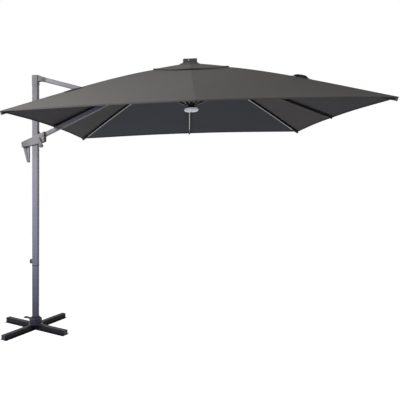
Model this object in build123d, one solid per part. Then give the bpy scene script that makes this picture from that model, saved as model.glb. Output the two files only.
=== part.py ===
from build123d import *
import math
import os

# A cantilever parasol: a square canopy on eight ribs hangs from a boom beside its mast. Lengths are in
# millimetres and angles in degrees. The origin is on the ground on the mast's axis. +X runs from the mast
# to the canopy, +Y to the far side and +Z up.

# ---- the canopy and its frame ----
CANOPY_SIDE = 3000.0
CROWN_X = 1660.0            # the crown's centre, in the plane of the rib hinges
CROWN_Y = 40.0              # the canopy hangs this far beside the boom
CROWN_Z = 2790.0
CANOPY_TILT = 1.75          # the outer edge is a little higher than the mast's side
MIDDLE_DROP = 585.0         # how far a middle rib's tip lies below its hinge
CORNER_DROP = 617.0         # the same for a corner rib
MIDDLE_BOW = 17.0           # how far a rib's middle rises above its chord
CORNER_BOW = 45.0
BOW_SKEW = 0.45             # the ribs bend most at their stretchers, nearer the crown than the tip
RIB_TALL = 28.0
RIB_WIDE = 18.0
RIB_WALL = 1.5
RIB_CHAMFER = 6.0
TIP_CAP_LONG = 10.0
TIP_PLUG_LONG = 30.0
TIP_SHORT = 12.0            # the ribs stop this far inside the fabric's edge
RIB_ROOT_LONG = 24.0        # the solid end of a rib, past the crown's core
STRETCHER_LUG = 10.0
LED_WIDE = 10.0
LED_START = 40.0            # from the stretcher's pin to the strip of lamps
LED_STOP = 80.0             # from the strip to the rib's tip
LED_THICK = 2.6
LED_SEAT = 0.2              # the strips are stuck on with thin tape

# ---- the hinges of the ribs and stretchers ----
HINGE_RADIUS = 48.0         # from the canopy's axis to the inner hinges, at the crown and at the runner
PIN = 8.0
RUNNING = 0.05              # radial clearance between a pin and its bore
SIDE_PLAY = 0.5             # clearance between the cheeks of a hinge
RIB_EYE_WIDE = 13.0
RIB_EYE_RADIUS = 11.0
STRETCHER_AT = 525.0        # from a middle rib's hinge to its stretcher
FOLDED_SLOPE = 85.0         # every rib's slope when the canopy is closed
STRAP_THICK = 4.0
STRAP_TALL = 16.0
FORK_OUTER = 60.0
FORK_INNER = 20.0
RIVET_HEAD = 2.0
RIVET_RADIUS = 6.0

# ---- crown, runner and lamp ----
CROWN_CORE = 30.0
CROWN_BELOW = 14.0
FLANGE_RADIUS = 64.0
FLANGE_LOW = 18.0
FLANGE_THICK = 8.0
LUG_THICK = 5.0
LUG_RADIUS = 12.0
RUNNER_CORE = 32.0
RUNNER_TALL = 24.0
RUNNER_LUG_WIDE = 17.0
LAMP_RADIUS = 78.0
LAMP_TOP_RADIUS = 34.0
LAMP_SPLIT_RADIUS = 66.0    # where the lens meets the shell above it
LAMP_UPPER = 24.0
LAMP_SHOULDER = 20.0
LAMP_LOWER = 22.0
LAMP_WALL = 3.0
BUTTON_RADIUS = 11.0
BUTTON_PROUD = 4.0
BUTTON_TRAVEL = 2.5

# ---- fabric ----
FABRIC_THICK = 1.5
FABRIC_LIFT = 1.0           # between a middle rib's top and the fabric
CORNER_LIFT = 2.2           # the fabric falls away on both sides of a corner rib
PANEL_GAP = 0.3             # each panel stops this far short of the line it shares with the next
VENT_HALF = 230.0           # half the side of the opening under the vent cap
HEM_RISE = 8.0              # how far the hem rises and draws in between two rib tips
PANEL_SAG = 7.0
CAP_HALF = 375.0
CAP_NECK = 75.0
CAP_HEM_UP = 5.137          # from the fabric over a corner rib up to the cap's hem
CAP_NECK_Z = 47.0
CAP_CURVE = 0.85
CAP_SHARES = (0, 0.13, 0.32, 0.62, 1)   # where the cap's bends lie between its neck and its hem
CAP_TAB = 20.0
CAP_TAB_LONG = 10.0
CAP_TAB_IN = 11.0           # from the cap's hem to the middle of its tabs
SLOT_NEAR = -72.0           # the slot beside the mast's rib, from the canopy's middle line
SLOT_FAR = -10.0
SLOT_LONG = 950.0

# ---- solar box ----
BOX_SIDE = 150.0
BOX_LOW = 51.0
BOX_TALL = 37.0
BOX_BOSS = 22.0
PANEL_THICK = 3.0

# ---- mast ----
MAST_X = 66.0
MAST_Y = 56.0
MAST_CORNER = 10.0
MAST_WALL = 2.5
MAST_FOOT_Z = 126.0
MAST_JOINT_Z = 675.0
MAST_TOP_Z = 2650.0
SLEEVE_LONG = 320.0
SLEEVE_WALL = 2.5
SLEEVE_PLAY = 0.2
HEAD_TALL = 68.0            # the head's height above the mast tube
HEAD_WALL = 3.0
HEAD_SKIRT = 40.0
STRUT_PIN = 16.0
EAR_THICK = 6.0
EAR_RADIUS = 24.0
EAR_GAP = 42.0
CLAMP_Z = 718.0
CLAMP_KNOB_RADIUS = 25.0
CLAMP_KNOB_LONG = 24.0
CLAMP_STUD = 10.0
STOP_Z = 2100.0
STOP_TALL = 22.0
STOP_PROUD = 11.0

# ---- boom and strut ----
BOOM_SLOPE = 26.4
BOOM_AXIS_Z = 2029.0        # height at which the boom's line crosses the mast's axis
BEAM_TALL = 48.0
BEAM_WIDE = 40.0
BEAM_CORNER = 9.0
BEAM_WALL = 2.0
PLUG_PLAY = 0.2
ROOT_X = 78.0               # the boom's pivot in the slider housing
ROOT_LONG = 40.0
ROOT_PLUG = 60.0
STRUT_TOP_X = 74.0
STRUT_PIN_UP = 26.0         # the strut's upper pin is this far above the mast tube
STRUT_SLOPE = 14.7
BOOM_END = -100.0           # where the boom stops, from the crown's centre
END_PLUG = 190.0            # from the boom's line over the crown back to the plug's inner end
ARM_THICK = 18.0
POST_THICK = 22.0
POST_DROP = 30.0
SEAT_RADIUS = 46.0
CROWN_BOLT_AT = 34.0
CROWN_BOLT_RADIUS = 4.0
CROWN_BOLT_HEAD = 6.5
FORK_CHEEK = 6.0
FORK_ROOT = 74.0
FORK_RADIUS = 26.0
STRUT_EYE_ROOT = 44.0

# ---- slider housing, grip, lever and crank ----
HOUSING_WIDE = 88.0
GUIDE_PLAY = 0.5
LINER = 3.0
LINER_TALL = 22.0
HOUSING_EDGE = 5.0
CLEVIS_X = 45.0
CLEVIS_GAP = 41.4
GRIP_X = -78.0              # middle of the grip bar
GRIP_THICK = 26.0
GRIP_WIDE = 32.0
GRIP_LOW_Z = 1791.0         # the lever's pin, near the foot of the grip
LEVER_TOP_Z = 1956.0        # its upper end stands in a pocket of the housing
LEVER_BACK = 53.0           # how far that end stands back from the pin
LEVER_KNEE = 150.0          # above the pin: up to here the lever's back slopes, then it is upright
LEVER_WEB = 6.0
LEVER_WEB_LOW = 85.0
LEVER_SIDE = 3.0
POCKET_SIDE = 21.0          # half the pocket's width
POCKET_TOP_Z = 1965.0
LEVER_PIN = 8.0
CRANK_X = 46.0
CRANK_Z = 2037.0
CRANK_LONG = 92.0
CRANK_REST = 64.0           # the arm hangs this far below level
CRANK_THICK = 10.0
CRANK_WIDE = 22.0
CRANK_STANDOFF = 14.0
CRANK_SHAFT = 12.0
CRANK_SHAFT_IN = 13.0
KNOB_RADIUS = 19.0
KNOB_LONG = 30.0
KNOB_PIN = 8.0

# ---- base ----
BASE_TURN = 16.0            # how far the base is turned under the mast at rest
BAR_LONG = 860.0
BAR_WIDE = 50.0
BAR_TALL = 50.0
BAR_WALL = 2.5
BAR_FLANGE = 20.0
CAP_THICK = 4.0
ANCHOR_ALONG = 380.0        # from the centre to each ground anchor's hole, along the bar
ANCHOR_ASIDE = 35.0
ANCHOR_RADIUS = 5.5
PLATE_SIDE = 150.0
PLATE_THICK = 6.0
PLATE_CORNER = 18.0
BOLT_RADIUS = 6.0
BOLT_HEAD_RADIUS = 9.5
BOLT_HEAD_TALL = 7.5
BOLT_OUT = 84.0             # each bolt stands this far from the centre, on a bar's middle line
SWIVEL_RADIUS = 66.0
SWIVEL_TOP_Z = 121.0
SWIVEL_SHOULDER = 16.0
SPINDLE_RADIUS = 25.0
BUSH_WALL = 4.0
SPINDLE_FLANGE = 5.0
PEDAL_TURN = 152.0          # direction of the foot pedal
PEDAL_PIN_OUT = 84.0
PEDAL_Z = 94.0
PEDAL_REACH = 82.0
PEDAL_WIDE = 44.0
PEDAL_THICK = 8.0
PEDAL_EYE_WIDE = 17.0

# ---- sizes worked out from those above ----
HALF = CANOPY_SIDE / 2
AMPLE = CANOPY_SIDE         # longer than any piece that is cut with it
CAP_TAB_OUT = CAP_HALF - CAP_TAB_IN
CAP_ROWS = [CAP_NECK + (CAP_HALF - CAP_NECK) * share for share in CAP_SHARES]
SIDES = [
    ("outer", 0), ("outer_far", 45), ("far", 90), ("mast_far", 135),
    ("mast", 180), ("mast_near", 225), ("near", 270), ("outer_near", 315),
]


def sin(angle):
    return math.sin(math.radians(angle))


def cos(angle):
    return math.cos(math.radians(angle))


def tan(angle):
    return math.tan(math.radians(angle))


def is_corner(turn):
    return turn % 90 == 45


def rib_reach(turn):
    """Distance from the canopy's axis to a rib's tip, along the rib."""
    return HALF * math.sqrt(2) if is_corner(turn) else HALF


def rib_drop(turn):
    return CORNER_DROP if is_corner(turn) else MIDDLE_DROP


def rib_slope(turn):
    return math.degrees(math.atan2(rib_drop(turn), rib_reach(turn) - HINGE_RADIUS))


def rib_chord(turn):
    return math.hypot(rib_drop(turn), rib_reach(turn) - HINGE_RADIUS)


def bow(turn, along):
    """How far a rib's middle line stands above its chord, at a distance from the hinge."""
    share = along / rib_chord(turn)
    most = CORNER_BOW if is_corner(turn) else MIDDLE_BOW
    return 4 * most * share * (1 - share) * (1 + BOW_SKEW * (1 - 2 * share))


def runner_depth(slope):
    """Depth of the runner's pins below the rib hinges when the middle ribs have this slope."""
    return 2 * STRETCHER_AT * sin(slope)


OPEN_DEPTH = runner_depth(rib_slope(0))
CLOSED_DEPTH = runner_depth(FOLDED_SLOPE)


def stretcher_at(turn):
    """Distance from a rib's hinge to its stretcher's pin. A corner's is set so that it also closes."""
    if not is_corner(turn):
        return STRETCHER_AT
    fall = CLOSED_DEPTH * sin(FOLDED_SLOPE) - OPEN_DEPTH * sin(rib_slope(turn))
    return (CLOSED_DEPTH**2 - OPEN_DEPTH**2) / (2 * fall)


def stretcher_slope(turn, slope, depth):
    """A stretcher's slope, up and outwards from the runner."""
    at = stretcher_at(turn)
    return math.degrees(math.atan2(depth - at * sin(slope), at * cos(slope)))


def stretcher_long(turn):
    at = stretcher_at(turn)
    slope = rib_slope(turn)
    return math.hypot(at * cos(slope), OPEN_DEPTH - at * sin(slope))


HEAD_TOP_Z = MAST_TOP_Z + HEAD_TALL
STRUT_TOP_Z = MAST_TOP_Z + STRUT_PIN_UP
ROOT_Z = BOOM_AXIS_Z + ROOT_X * tan(BOOM_SLOPE)
JOIN_X = (
    STRUT_TOP_Z + STRUT_TOP_X * tan(STRUT_SLOPE) - BOOM_AXIS_Z
) / (tan(BOOM_SLOPE) + tan(STRUT_SLOPE))
JOIN_Z = BOOM_AXIS_Z + JOIN_X * tan(BOOM_SLOPE)
STRUT_LONG = math.hypot(JOIN_X - STRUT_TOP_X, JOIN_Z - STRUT_TOP_Z)
JOIN_ALONG = math.hypot(JOIN_X - ROOT_X, JOIN_Z - ROOT_Z)

CROWN = Location((CROWN_X, CROWN_Y, CROWN_Z), (0, -CANOPY_TILT, 0))
BOOM = Location((ROOT_X, 0, ROOT_Z), (0, -BOOM_SLOPE, 0))
STRUT = Location((STRUT_TOP_X, 0, STRUT_TOP_Z), (0, STRUT_SLOPE, 0))
FLANGE_TOP = FLANGE_LOW + FLANGE_THICK
LAMP_TOP_Z = -OPEN_DEPTH - RUNNER_TALL / 2
LAMP_SPLIT_Z = LAMP_TOP_Z - LAMP_UPPER
LAMP_RIM_Z = LAMP_SPLIT_Z - LAMP_SHOULDER
LAMP_LOW_Z = LAMP_RIM_Z - LAMP_LOWER
STRAP_INSIDE = RIB_WIDE / 2 + SIDE_PLAY
STRAP_OUTSIDE = STRAP_INSIDE + STRAP_THICK


# ---- shapes that several pieces share ----
def upright(face, low, high):
    """Thicken a face drawn in X and Z into a plate between two values of Y."""
    plane = Plane(origin=(0, high, 0), x_dir=(1, 0, 0), z_dir=(0, -1, 0))
    return extrude(plane * face, high - low, dir=(0, -1, 0))


def both_sides(face, inside, outside):
    return upright(face, inside, outside) + upright(face, -outside, -inside)


def pin_across(x, z, radius, low, high):
    return upright(Pos(x, z) * Circle(radius), low, high)


def block(x, y, z):
    """A box between two values on each axis, each given as a pair."""
    size = [high - low for low, high in (x, y, z)]
    middle = [(high + low) / 2 for low, high in (x, y, z)]
    return Pos(*middle) * Box(*size)


def rounded_column(x, y, corner, low, high):
    return Pos(0, 0, low) * extrude(RectangleRounded(x, y, corner), high - low)


def beam(start, end, grow=0.0):
    """A solid rounded bar along X, of the boom's section grown on every side."""
    face = RectangleRounded(BEAM_WIDE + 2 * grow, BEAM_TALL + 2 * grow, BEAM_CORNER + grow)
    return Pos(start, 0, 0) * extrude(Plane.YZ * face, end - start)


def beam_tube(start, end):
    return beam(start, end) - beam(start - 1, end + 1, -BEAM_WALL)


def disc(radius, low, high):
    return Pos(0, 0, low) * extrude(Circle(radius), high - low)


def capsule(x0, z0, x1, z1, radius):
    """The outline of a bar with round ends, drawn in X and Z."""
    length = math.hypot(x1 - x0, z1 - z0)
    turn = math.degrees(math.atan2(z1 - z0, x1 - x0))
    middle = Pos((x0 + x1) / 2, (z0 + z1) / 2) * Rot(0, 0, turn)
    return middle * SlotCenterToCenter(length, 2 * radius)


def radial(turn):
    """The frame of one rib: X runs outwards, Y across the rib and Z up the canopy's axis."""
    return CROWN * Location((0, 0, 0), (0, 0, turn))


# ---- base ----
def on_bar(turn):
    return Location((0, 0, 0), (0, 0, BASE_TURN + turn))


def top_hat(height):
    """The end view of a bar, in Y and Z: a channel with a flange along each foot."""
    outside = Pos(0, height / 2) * Rectangle(BAR_WIDE, height)
    inside = Pos(0, (height - BAR_WALL) / 2) * Rectangle(BAR_WIDE - 2 * BAR_WALL, height - BAR_WALL)
    flange = Pos(0, BAR_WALL / 2) * Rectangle(BAR_WIDE + 2 * BAR_FLANGE, BAR_WALL)
    return outside + flange - inside - Pos(0, BAR_WALL / 2) * Rectangle(BAR_WIDE - 2 * BAR_WALL, BAR_WALL)


def cross_bar():
    bar = Pos(-BAR_LONG / 2, 0, 0) * extrude(Plane.YZ * top_hat(BAR_TALL), BAR_LONG)
    for end in (-1, 1):
        foot = Pos(end * ANCHOR_ALONG, end * ANCHOR_ASIDE, 0)
        bar -= foot * disc(ANCHOR_RADIUS, -1, BAR_WALL + 1)
        bar -= Pos(end * BOLT_OUT, 0, 0) * disc(BOLT_RADIUS, BAR_TALL - BAR_WALL - 1, BAR_TALL + 1)
    return bar


def cross_bar_lower():
    """Runs through under the other bar, so its top is cut away where they cross."""
    reach = BAR_WIDE / 2
    notch = block((-reach, reach), (-reach, reach), (BAR_TALL - 2 * BAR_WALL, BAR_TALL + 1))
    return on_bar(-45) * (cross_bar() - notch)


def cross_bar_upper():
    """Bridges the other bar with its top alone."""
    reach = BAR_WIDE / 2 + BAR_FLANGE
    notch = block((-reach, reach), (-reach, reach), (-1, BAR_TALL - BAR_WALL))
    return on_bar(45) * (cross_bar() - notch)


def leg_end_caps():
    """A cap closes each end of both bars and plugs into the channel."""
    caps = []
    face = Pos(0, BAR_TALL / 2) * Rectangle(BAR_WIDE, BAR_TALL)
    face += Pos(0, BAR_WALL / 2) * Rectangle(BAR_WIDE + 2 * BAR_FLANGE, BAR_WALL)
    inside = BAR_WIDE - 2 * BAR_WALL - 2 * PLUG_PLAY
    plug = Pos(0, BAR_TALL / 2 - BAR_WALL) * Rectangle(inside, BAR_TALL - BAR_WALL - 8)
    for turn in (45, 135, 225, 315):
        cap = extrude(Plane.YZ * face, CAP_THICK)
        cap += Pos(-CAP_THICK, 0, 0) * extrude(Plane.YZ * plug, CAP_THICK)
        caps.append(on_bar(turn) * Pos(BAR_LONG / 2, 0, 0) * cap)
    return Compound(children=caps)


def base_plate():
    face = RectangleRounded(PLATE_SIDE, PLATE_SIDE, PLATE_CORNER)
    plate = Pos(0, 0, BAR_TALL) * extrude(face, PLATE_THICK)
    for turn in (0, 90, 180, 270):
        plate -= Rot(0, 0, turn + 45) * Pos(BOLT_OUT, 0, 0) * disc(BOLT_RADIUS, BAR_TALL - 1, BAR_TALL + 9)
    return on_bar(0) * plate


def base_bolts():
    """Four hexagon bolts through the plate and the tops of the bars, each with its nut below."""
    bolts = []
    top = BAR_TALL + PLATE_THICK
    under = BAR_TALL - BAR_WALL
    hexagon = RegularPolygon(BOLT_HEAD_RADIUS, 6)
    for turn in (45, 135, 225, 315):
        bolt = disc(BOLT_RADIUS - PLUG_PLAY, under - BOLT_HEAD_TALL, top)
        bolt += Pos(0, 0, top) * extrude(hexagon, BOLT_HEAD_TALL)
        bolt += Pos(0, 0, under - BOLT_HEAD_TALL) * extrude(hexagon, BOLT_HEAD_TALL)
        bolts.append(on_bar(turn) * Pos(BOLT_OUT, 0, 0) * bolt)
    return Compound(children=bolts)


def swivel_housing():
    """The socket that the mast turns in, with a sloping shoulder and two lugs for the pedal."""
    low = BAR_TALL + PLATE_THICK
    body = extrude(Pos(0, 0, low) * RegularPolygon(SWIVEL_RADIUS, 8), SWIVEL_TOP_Z - low)
    body = chamfer(body.faces().sort_by(Axis.Z)[-1].edges(), SWIVEL_SHOULDER)
    body -= disc(SPINDLE_RADIUS + BUSH_WALL, low - 1, SWIVEL_TOP_Z + 1)
    inside = PEDAL_EYE_WIDE / 2 + SIDE_PLAY
    ear = capsule(SWIVEL_RADIUS - 14, PEDAL_Z, PEDAL_PIN_OUT, PEDAL_Z, LUG_RADIUS)
    lugs = both_sides(ear, inside, inside + LUG_THICK)
    lugs += pin_across(PEDAL_PIN_OUT, PEDAL_Z, PIN / 2, -inside - LUG_THICK, inside + LUG_THICK)
    return Rot(0, 0, BASE_TURN - 8.5) * body + Rot(0, 0, PEDAL_TURN) * lugs


def swivel_bush():
    low = BAR_TALL + PLATE_THICK
    ring = disc(SPINDLE_RADIUS + BUSH_WALL, low, SWIVEL_TOP_Z)
    return ring - disc(SPINDLE_RADIUS + RUNNING, low - 1, SWIVEL_TOP_Z + 1)


def foot_pedal():
    """A treadle on the swivel's locking pin: an eye between the lugs and a ribbed pad."""
    end = PEDAL_PIN_OUT + PEDAL_REACH
    pad_start = end - 54
    eye = pin_across(PEDAL_PIN_OUT, PEDAL_Z, RIB_EYE_RADIUS, -PEDAL_EYE_WIDE / 2, PEDAL_EYE_WIDE / 2)
    arm = block(
        (PEDAL_PIN_OUT, pad_start + 4), (-PEDAL_EYE_WIDE / 2, PEDAL_EYE_WIDE / 2),
        (PEDAL_Z - PEDAL_THICK / 2, PEDAL_Z + PEDAL_THICK / 2),
    )
    pad = block(
        (pad_start, end), (-PEDAL_WIDE / 2, PEDAL_WIDE / 2),
        (PEDAL_Z - PEDAL_THICK / 2, PEDAL_Z + PEDAL_THICK / 2),
    )
    pad = fillet(pad.edges().filter_by(Axis.Z), 8)
    for step in range(4):
        rib_x = pad_start + 10 + 11 * step
        pad += block((rib_x, rib_x + 4), (-PEDAL_WIDE / 2 + 5, PEDAL_WIDE / 2 - 5), (PEDAL_Z, PEDAL_Z + 6))
    pedal = eye + arm + pad - pin_across(PEDAL_PIN_OUT, PEDAL_Z, PIN / 2 + RUNNING, -20, 20)
    return Rot(0, 0, PEDAL_TURN) * pedal


# ---- mast ----
def mast_column(low, high, grow=0.0):
    return rounded_column(MAST_X + 2 * grow, MAST_Y + 2 * grow, MAST_CORNER + grow, low, high)


def mast_spindle():
    """Turns in the base's bush and carries the mast on a flange."""
    flange_low = SWIVEL_TOP_Z + SIDE_PLAY
    spindle = disc(SPINDLE_RADIUS, BAR_TALL + PLATE_THICK + SIDE_PLAY, flange_low)
    spindle += mast_column(flange_low, MAST_FOOT_Z, 3)
    return spindle + mast_column(MAST_FOOT_Z, MAST_FOOT_Z + 70, -MAST_WALL - PLUG_PLAY)


def mast_tube(low, high):
    return mast_column(low, high) - mast_column(low - 1, high + 1, -MAST_WALL)


def clamp_hole(grow=0.0):
    radius = CLAMP_STUD / 2 + grow
    return Location((-MAST_X / 2 - 40, 0, CLAMP_Z), (0, 90, 0)) * disc(radius, 0, 60)


def lower_mast():
    return mast_tube(MAST_FOOT_Z, MAST_JOINT_Z)


def upper_mast():
    return mast_tube(MAST_JOINT_Z, MAST_TOP_Z) - clamp_hole(RUNNING)


def joint_sleeve():
    """Stands inside both halves of the mast and takes the clamp knob's stud."""
    outside = -MAST_WALL - SLEEVE_PLAY
    low = MAST_JOINT_Z - SLEEVE_LONG / 2
    high = MAST_JOINT_Z + SLEEVE_LONG / 2
    sleeve = mast_column(low, high, outside) - mast_column(low - 1, high + 1, outside - SLEEVE_WALL)
    return sleeve - clamp_hole(RUNNING)


def mast_head():
    """A cap over the mast's top, with two ears that hold the strut's pin."""
    skirt_low = MAST_TOP_Z - HEAD_SKIRT
    head = mast_column(skirt_low, HEAD_TOP_Z, HEAD_WALL)
    head = fillet(head.edges().group_by(Axis.Z)[-1], 8)
    head -= mast_column(skirt_low - 1, MAST_TOP_Z, SLEEVE_PLAY)
    inside = EAR_GAP / 2
    ear = capsule(10, STRUT_TOP_Z, STRUT_TOP_X, STRUT_TOP_Z, EAR_RADIUS)
    brow_z = HEAD_TOP_Z - HEAD_WALL
    ear += Polygon(
        (0, STRUT_TOP_Z), (0, brow_z), (MAST_X / 2 + 6, brow_z),
        (STRUT_TOP_X + EAR_RADIUS * cos(68), STRUT_TOP_Z + EAR_RADIUS * sin(68)),
        (STRUT_TOP_X, STRUT_TOP_Z),
        align=None,
    )
    ears = both_sides(ear, inside, inside + EAR_THICK)
    ears -= block((-MAST_X, MAST_X / 2), (-MAST_Y, MAST_Y), (skirt_low - HEAD_SKIRT, MAST_TOP_Z))
    head += ears
    return head - pin_across(STRUT_TOP_X, STRUT_TOP_Z, STRUT_PIN / 2 + RUNNING, -MAST_Y, MAST_Y)


def strut_pin():
    """The strut's upper pin, with a head at each end outside the ears."""
    outside = EAR_GAP / 2 + EAR_THICK
    pin = pin_across(STRUT_TOP_X, STRUT_TOP_Z, STRUT_PIN / 2, -outside, outside)
    head = Pos(STRUT_TOP_X, STRUT_TOP_Z) * Circle(STRUT_PIN / 2 + 4)
    return pin + both_sides(head, outside, outside + 3)


def slider_stop():
    """A bump on the mast's inner face that ends the slider's travel."""
    stop = block(
        (MAST_X / 2, MAST_X / 2 + STOP_PROUD), (-14, 14), (STOP_Z - STOP_TALL / 2, STOP_Z + STOP_TALL / 2)
    )
    return fillet(stop.faces().sort_by(Axis.X)[-1].edges(), 3)


def clamp_knob():
    """A lobed knob with a threaded stud that tightens the mast's joint."""
    face = Circle(CLAMP_KNOB_RADIUS)
    for turn in range(0, 360, 45):
        face -= Rot(0, 0, turn) * Pos(CLAMP_KNOB_RADIUS + 4, 0) * Circle(8)
    knob = chamfer(extrude(face, CLAMP_KNOB_LONG).faces().sort_by(Axis.Z)[-1].edges(), 2)
    knob += disc(CLAMP_STUD / 2 + 4, -SIDE_PLAY * 6, 0)
    knob += disc(CLAMP_STUD / 2, -26, 0)
    start = -MAST_X / 2 - SIDE_PLAY * 7
    return Location((start, 0, CLAMP_Z), (0, -90, 0)) * knob


# ---- strut ----
def strut_tube():
    return STRUT * beam_tube(STRUT_EYE_ROOT, STRUT_LONG - FORK_ROOT)


def spigot(start, end):
    return beam(start, end, -BEAM_WALL - PLUG_PLAY)


def strut_eye():
    """The casting in the strut's upper end, with the eye that turns on the mast head's pin."""
    eye_wide = EAR_GAP / 2 - SIDE_PLAY
    eye = upright(capsule(0, 0, STRUT_EYE_ROOT - 20, 0, BEAM_TALL / 2), -eye_wide, eye_wide)
    eye &= block((-60, STRUT_EYE_ROOT), (-60, 60), (-60, 60))
    neck = beam(STRUT_EYE_ROOT - 26, STRUT_EYE_ROOT)
    piece = eye + neck + spigot(STRUT_EYE_ROOT, STRUT_EYE_ROOT + ROOT_PLUG)
    return STRUT * (piece - pin_across(0, 0, STRUT_PIN / 2 + RUNNING, -60, 60))


def strut_fork():
    """The casting in the strut's lower end: two cheeks that straddle the boom, and their pin."""
    inside = BEAM_WIDE / 2 + SIDE_PLAY
    root = STRUT_LONG - FORK_ROOT
    cheek = capsule(root + 4, 0, STRUT_LONG, 0, FORK_RADIUS)
    cheeks = both_sides(cheek, inside, inside + FORK_CHEEK)
    cheeks &= block((root, STRUT_LONG + 60), (-60, 60), (-60, 60))
    saddle = upright(Pos(root + 4, 0) * Rectangle(8, BEAM_TALL), -inside - 1, inside + 1)
    pin = pin_across(STRUT_LONG, 0, STRUT_PIN / 2, -inside - FORK_CHEEK - 1.5, inside + FORK_CHEEK + 1.5)
    return STRUT * (cheeks + saddle + pin + spigot(root - ROOT_PLUG, root))


# ---- boom ----
def boom_tube():
    """The boom, bored across for the strut's pin and cut square to the canopy at its upper end."""
    end = (CROWN_X - ROOT_X) / cos(BOOM_SLOPE)
    tube = beam_tube(ROOT_LONG, end)
    bush = pin_across(JOIN_ALONG, 0, STRUT_PIN / 2 + 4, -BEAM_WIDE / 2, BEAM_WIDE / 2)
    tube = tube + bush - pin_across(JOIN_ALONG, 0, STRUT_PIN / 2 + RUNNING, -60, 60)
    beyond = CROWN * block((BOOM_END, AMPLE), (-AMPLE, AMPLE), (-AMPLE, AMPLE))
    return BOOM * tube - beyond


def boom_root():
    """The casting in the boom's lower end, whose round tongue turns in the slider housing."""
    tongue = upright(capsule(0, 0, ROOT_LONG - 10, 0, BEAM_TALL / 2), -BEAM_WIDE / 2, BEAM_WIDE / 2)
    tongue &= block((-60, ROOT_LONG), (-60, 60), (-60, 60))
    neck = upright(Pos(ROOT_LONG - 10, 0) * Rectangle(20, BEAM_TALL), -BEAM_WIDE / 2, BEAM_WIDE / 2)
    return BOOM * (tongue + neck + spigot(ROOT_LONG, ROOT_LONG + ROOT_PLUG))


def boom_end_fitting():
    """The casting that carries the crown: a plug in the boom and an arm over the crown's flange."""
    near = -CROWN_Y - BEAM_WIDE / 2
    far = -CROWN_Y + BEAM_WIDE / 2
    top = FLANGE_TOP + ARM_THICK
    post = block((BOOM_END, BOOM_END + POST_THICK), (near, far), (FLANGE_TOP - POST_DROP, top))
    arm = block((BOOM_END, -SEAT_RADIUS / 2), (near, far), (FLANGE_TOP, top))
    seat = disc(SEAT_RADIUS, FLANGE_TOP, top)
    casting = CROWN * (post + arm + seat)
    length = (CROWN_X - ROOT_X) / cos(BOOM_SLOPE)
    plug = BOOM * spigot(length - END_PLUG, length)
    plug -= CROWN * block((BOOM_END + POST_THICK / 2, AMPLE), (-AMPLE, AMPLE), (-AMPLE, AMPLE))
    casting += plug
    for turn in (45, 135, 225, 315):
        hole = Pos(CROWN_BOLT_AT, 0, 0) * disc(CROWN_BOLT_RADIUS, FLANGE_TOP - 1, top + 1)
        casting -= CROWN * Rot(0, 0, turn) * hole
    return casting


def crown_hub():
    """The ribs' hub: a core and a flange, with eight pairs of lugs and their pins."""
    hub = disc(CROWN_CORE, -CROWN_BELOW, FLANGE_TOP) + disc(FLANGE_RADIUS, FLANGE_LOW, FLANGE_TOP)
    inside = RIB_EYE_WIDE / 2 + SIDE_PLAY
    outside = inside + LUG_THICK
    lug = Pos(HINGE_RADIUS, 0) * Circle(LUG_RADIUS)
    lug += Pos(HINGE_RADIUS, FLANGE_LOW / 2 + 1) * Rectangle(2 * LUG_RADIUS, FLANGE_LOW + 2)
    hinge = both_sides(lug, inside, outside) + pin_across(HINGE_RADIUS, 0, PIN / 2, -outside, outside)
    for _, turn in SIDES:
        hub += Rot(0, 0, turn) * hinge
    for turn in (45, 135, 225, 315):
        hole = Pos(CROWN_BOLT_AT, 0, 0) * disc(CROWN_BOLT_RADIUS, FLANGE_LOW - 1, FLANGE_TOP + 1)
        hub -= Rot(0, 0, turn) * hole
    return CROWN * hub


def crown_bolts():
    """Four cap screws that hold the crown up against the boom's arm."""
    top = FLANGE_TOP + ARM_THICK
    bolts = []
    for turn in (45, 135, 225, 315):
        bolt = disc(CROWN_BOLT_RADIUS - PLUG_PLAY, FLANGE_LOW, top)
        bolt += disc(CROWN_BOLT_HEAD, top, top + CROWN_BOLT_HEAD)
        bolts.append(CROWN * Rot(0, 0, turn) * Pos(CROWN_BOLT_AT, 0, 0) * bolt)
    return Compound(children=bolts)


def solar_box():
    """The box over the canopy that holds the lamps' battery, open at the top under its panel."""
    boss_low = FLANGE_TOP + ARM_THICK
    half = BOX_SIDE / 2
    box = block((-half, half), (-half, half), (BOX_LOW, BOX_LOW + BOX_TALL))
    box = fillet(box.edges().filter_by(Axis.Z), 12)
    room = half - 4
    box -= block((-room, room), (-room, room), (BOX_LOW + 4, BOX_LOW + BOX_TALL + 1))
    return CROWN * (box + disc(BOX_BOSS, boss_low, BOX_LOW + 4))


def solar_panel():
    half = BOX_SIDE / 2 - 4 - PLUG_PLAY
    top = BOX_LOW + BOX_TALL
    panel = block((-half, half), (-half, half), (top - PANEL_THICK, top))
    return CROWN * panel


# ---- ribs and stretchers ----
def rib_strip(turn, start, end, low, high):
    """The side view of a strip that follows a rib's bow, between two heights from its middle line."""
    steps = 6
    stations = [start + (end - start) * n / steps for n in range(steps + 1)]
    top = [(x, bow(turn, x) + high) for x in stations]
    foot = [(x, bow(turn, x) + low) for x in reversed(stations)]
    edges = Spline(*top) + Line(top[-1], foot[0]) + Spline(*foot) + Line(foot[-1], top[0])
    return make_face(edges)


def roofed(turn, start, end, tall, wide, edge):
    """A bar along a rib whose two upper edges are cut back."""
    bar = upright(rib_strip(turn, start, end, -tall / 2, tall / 2), -wide / 2, wide / 2)
    upper = bar.faces().sort_by(Axis.Z)[-1]
    return chamfer(upper.edges().filter_by(Axis.Y, reverse=True), edge)


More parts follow.
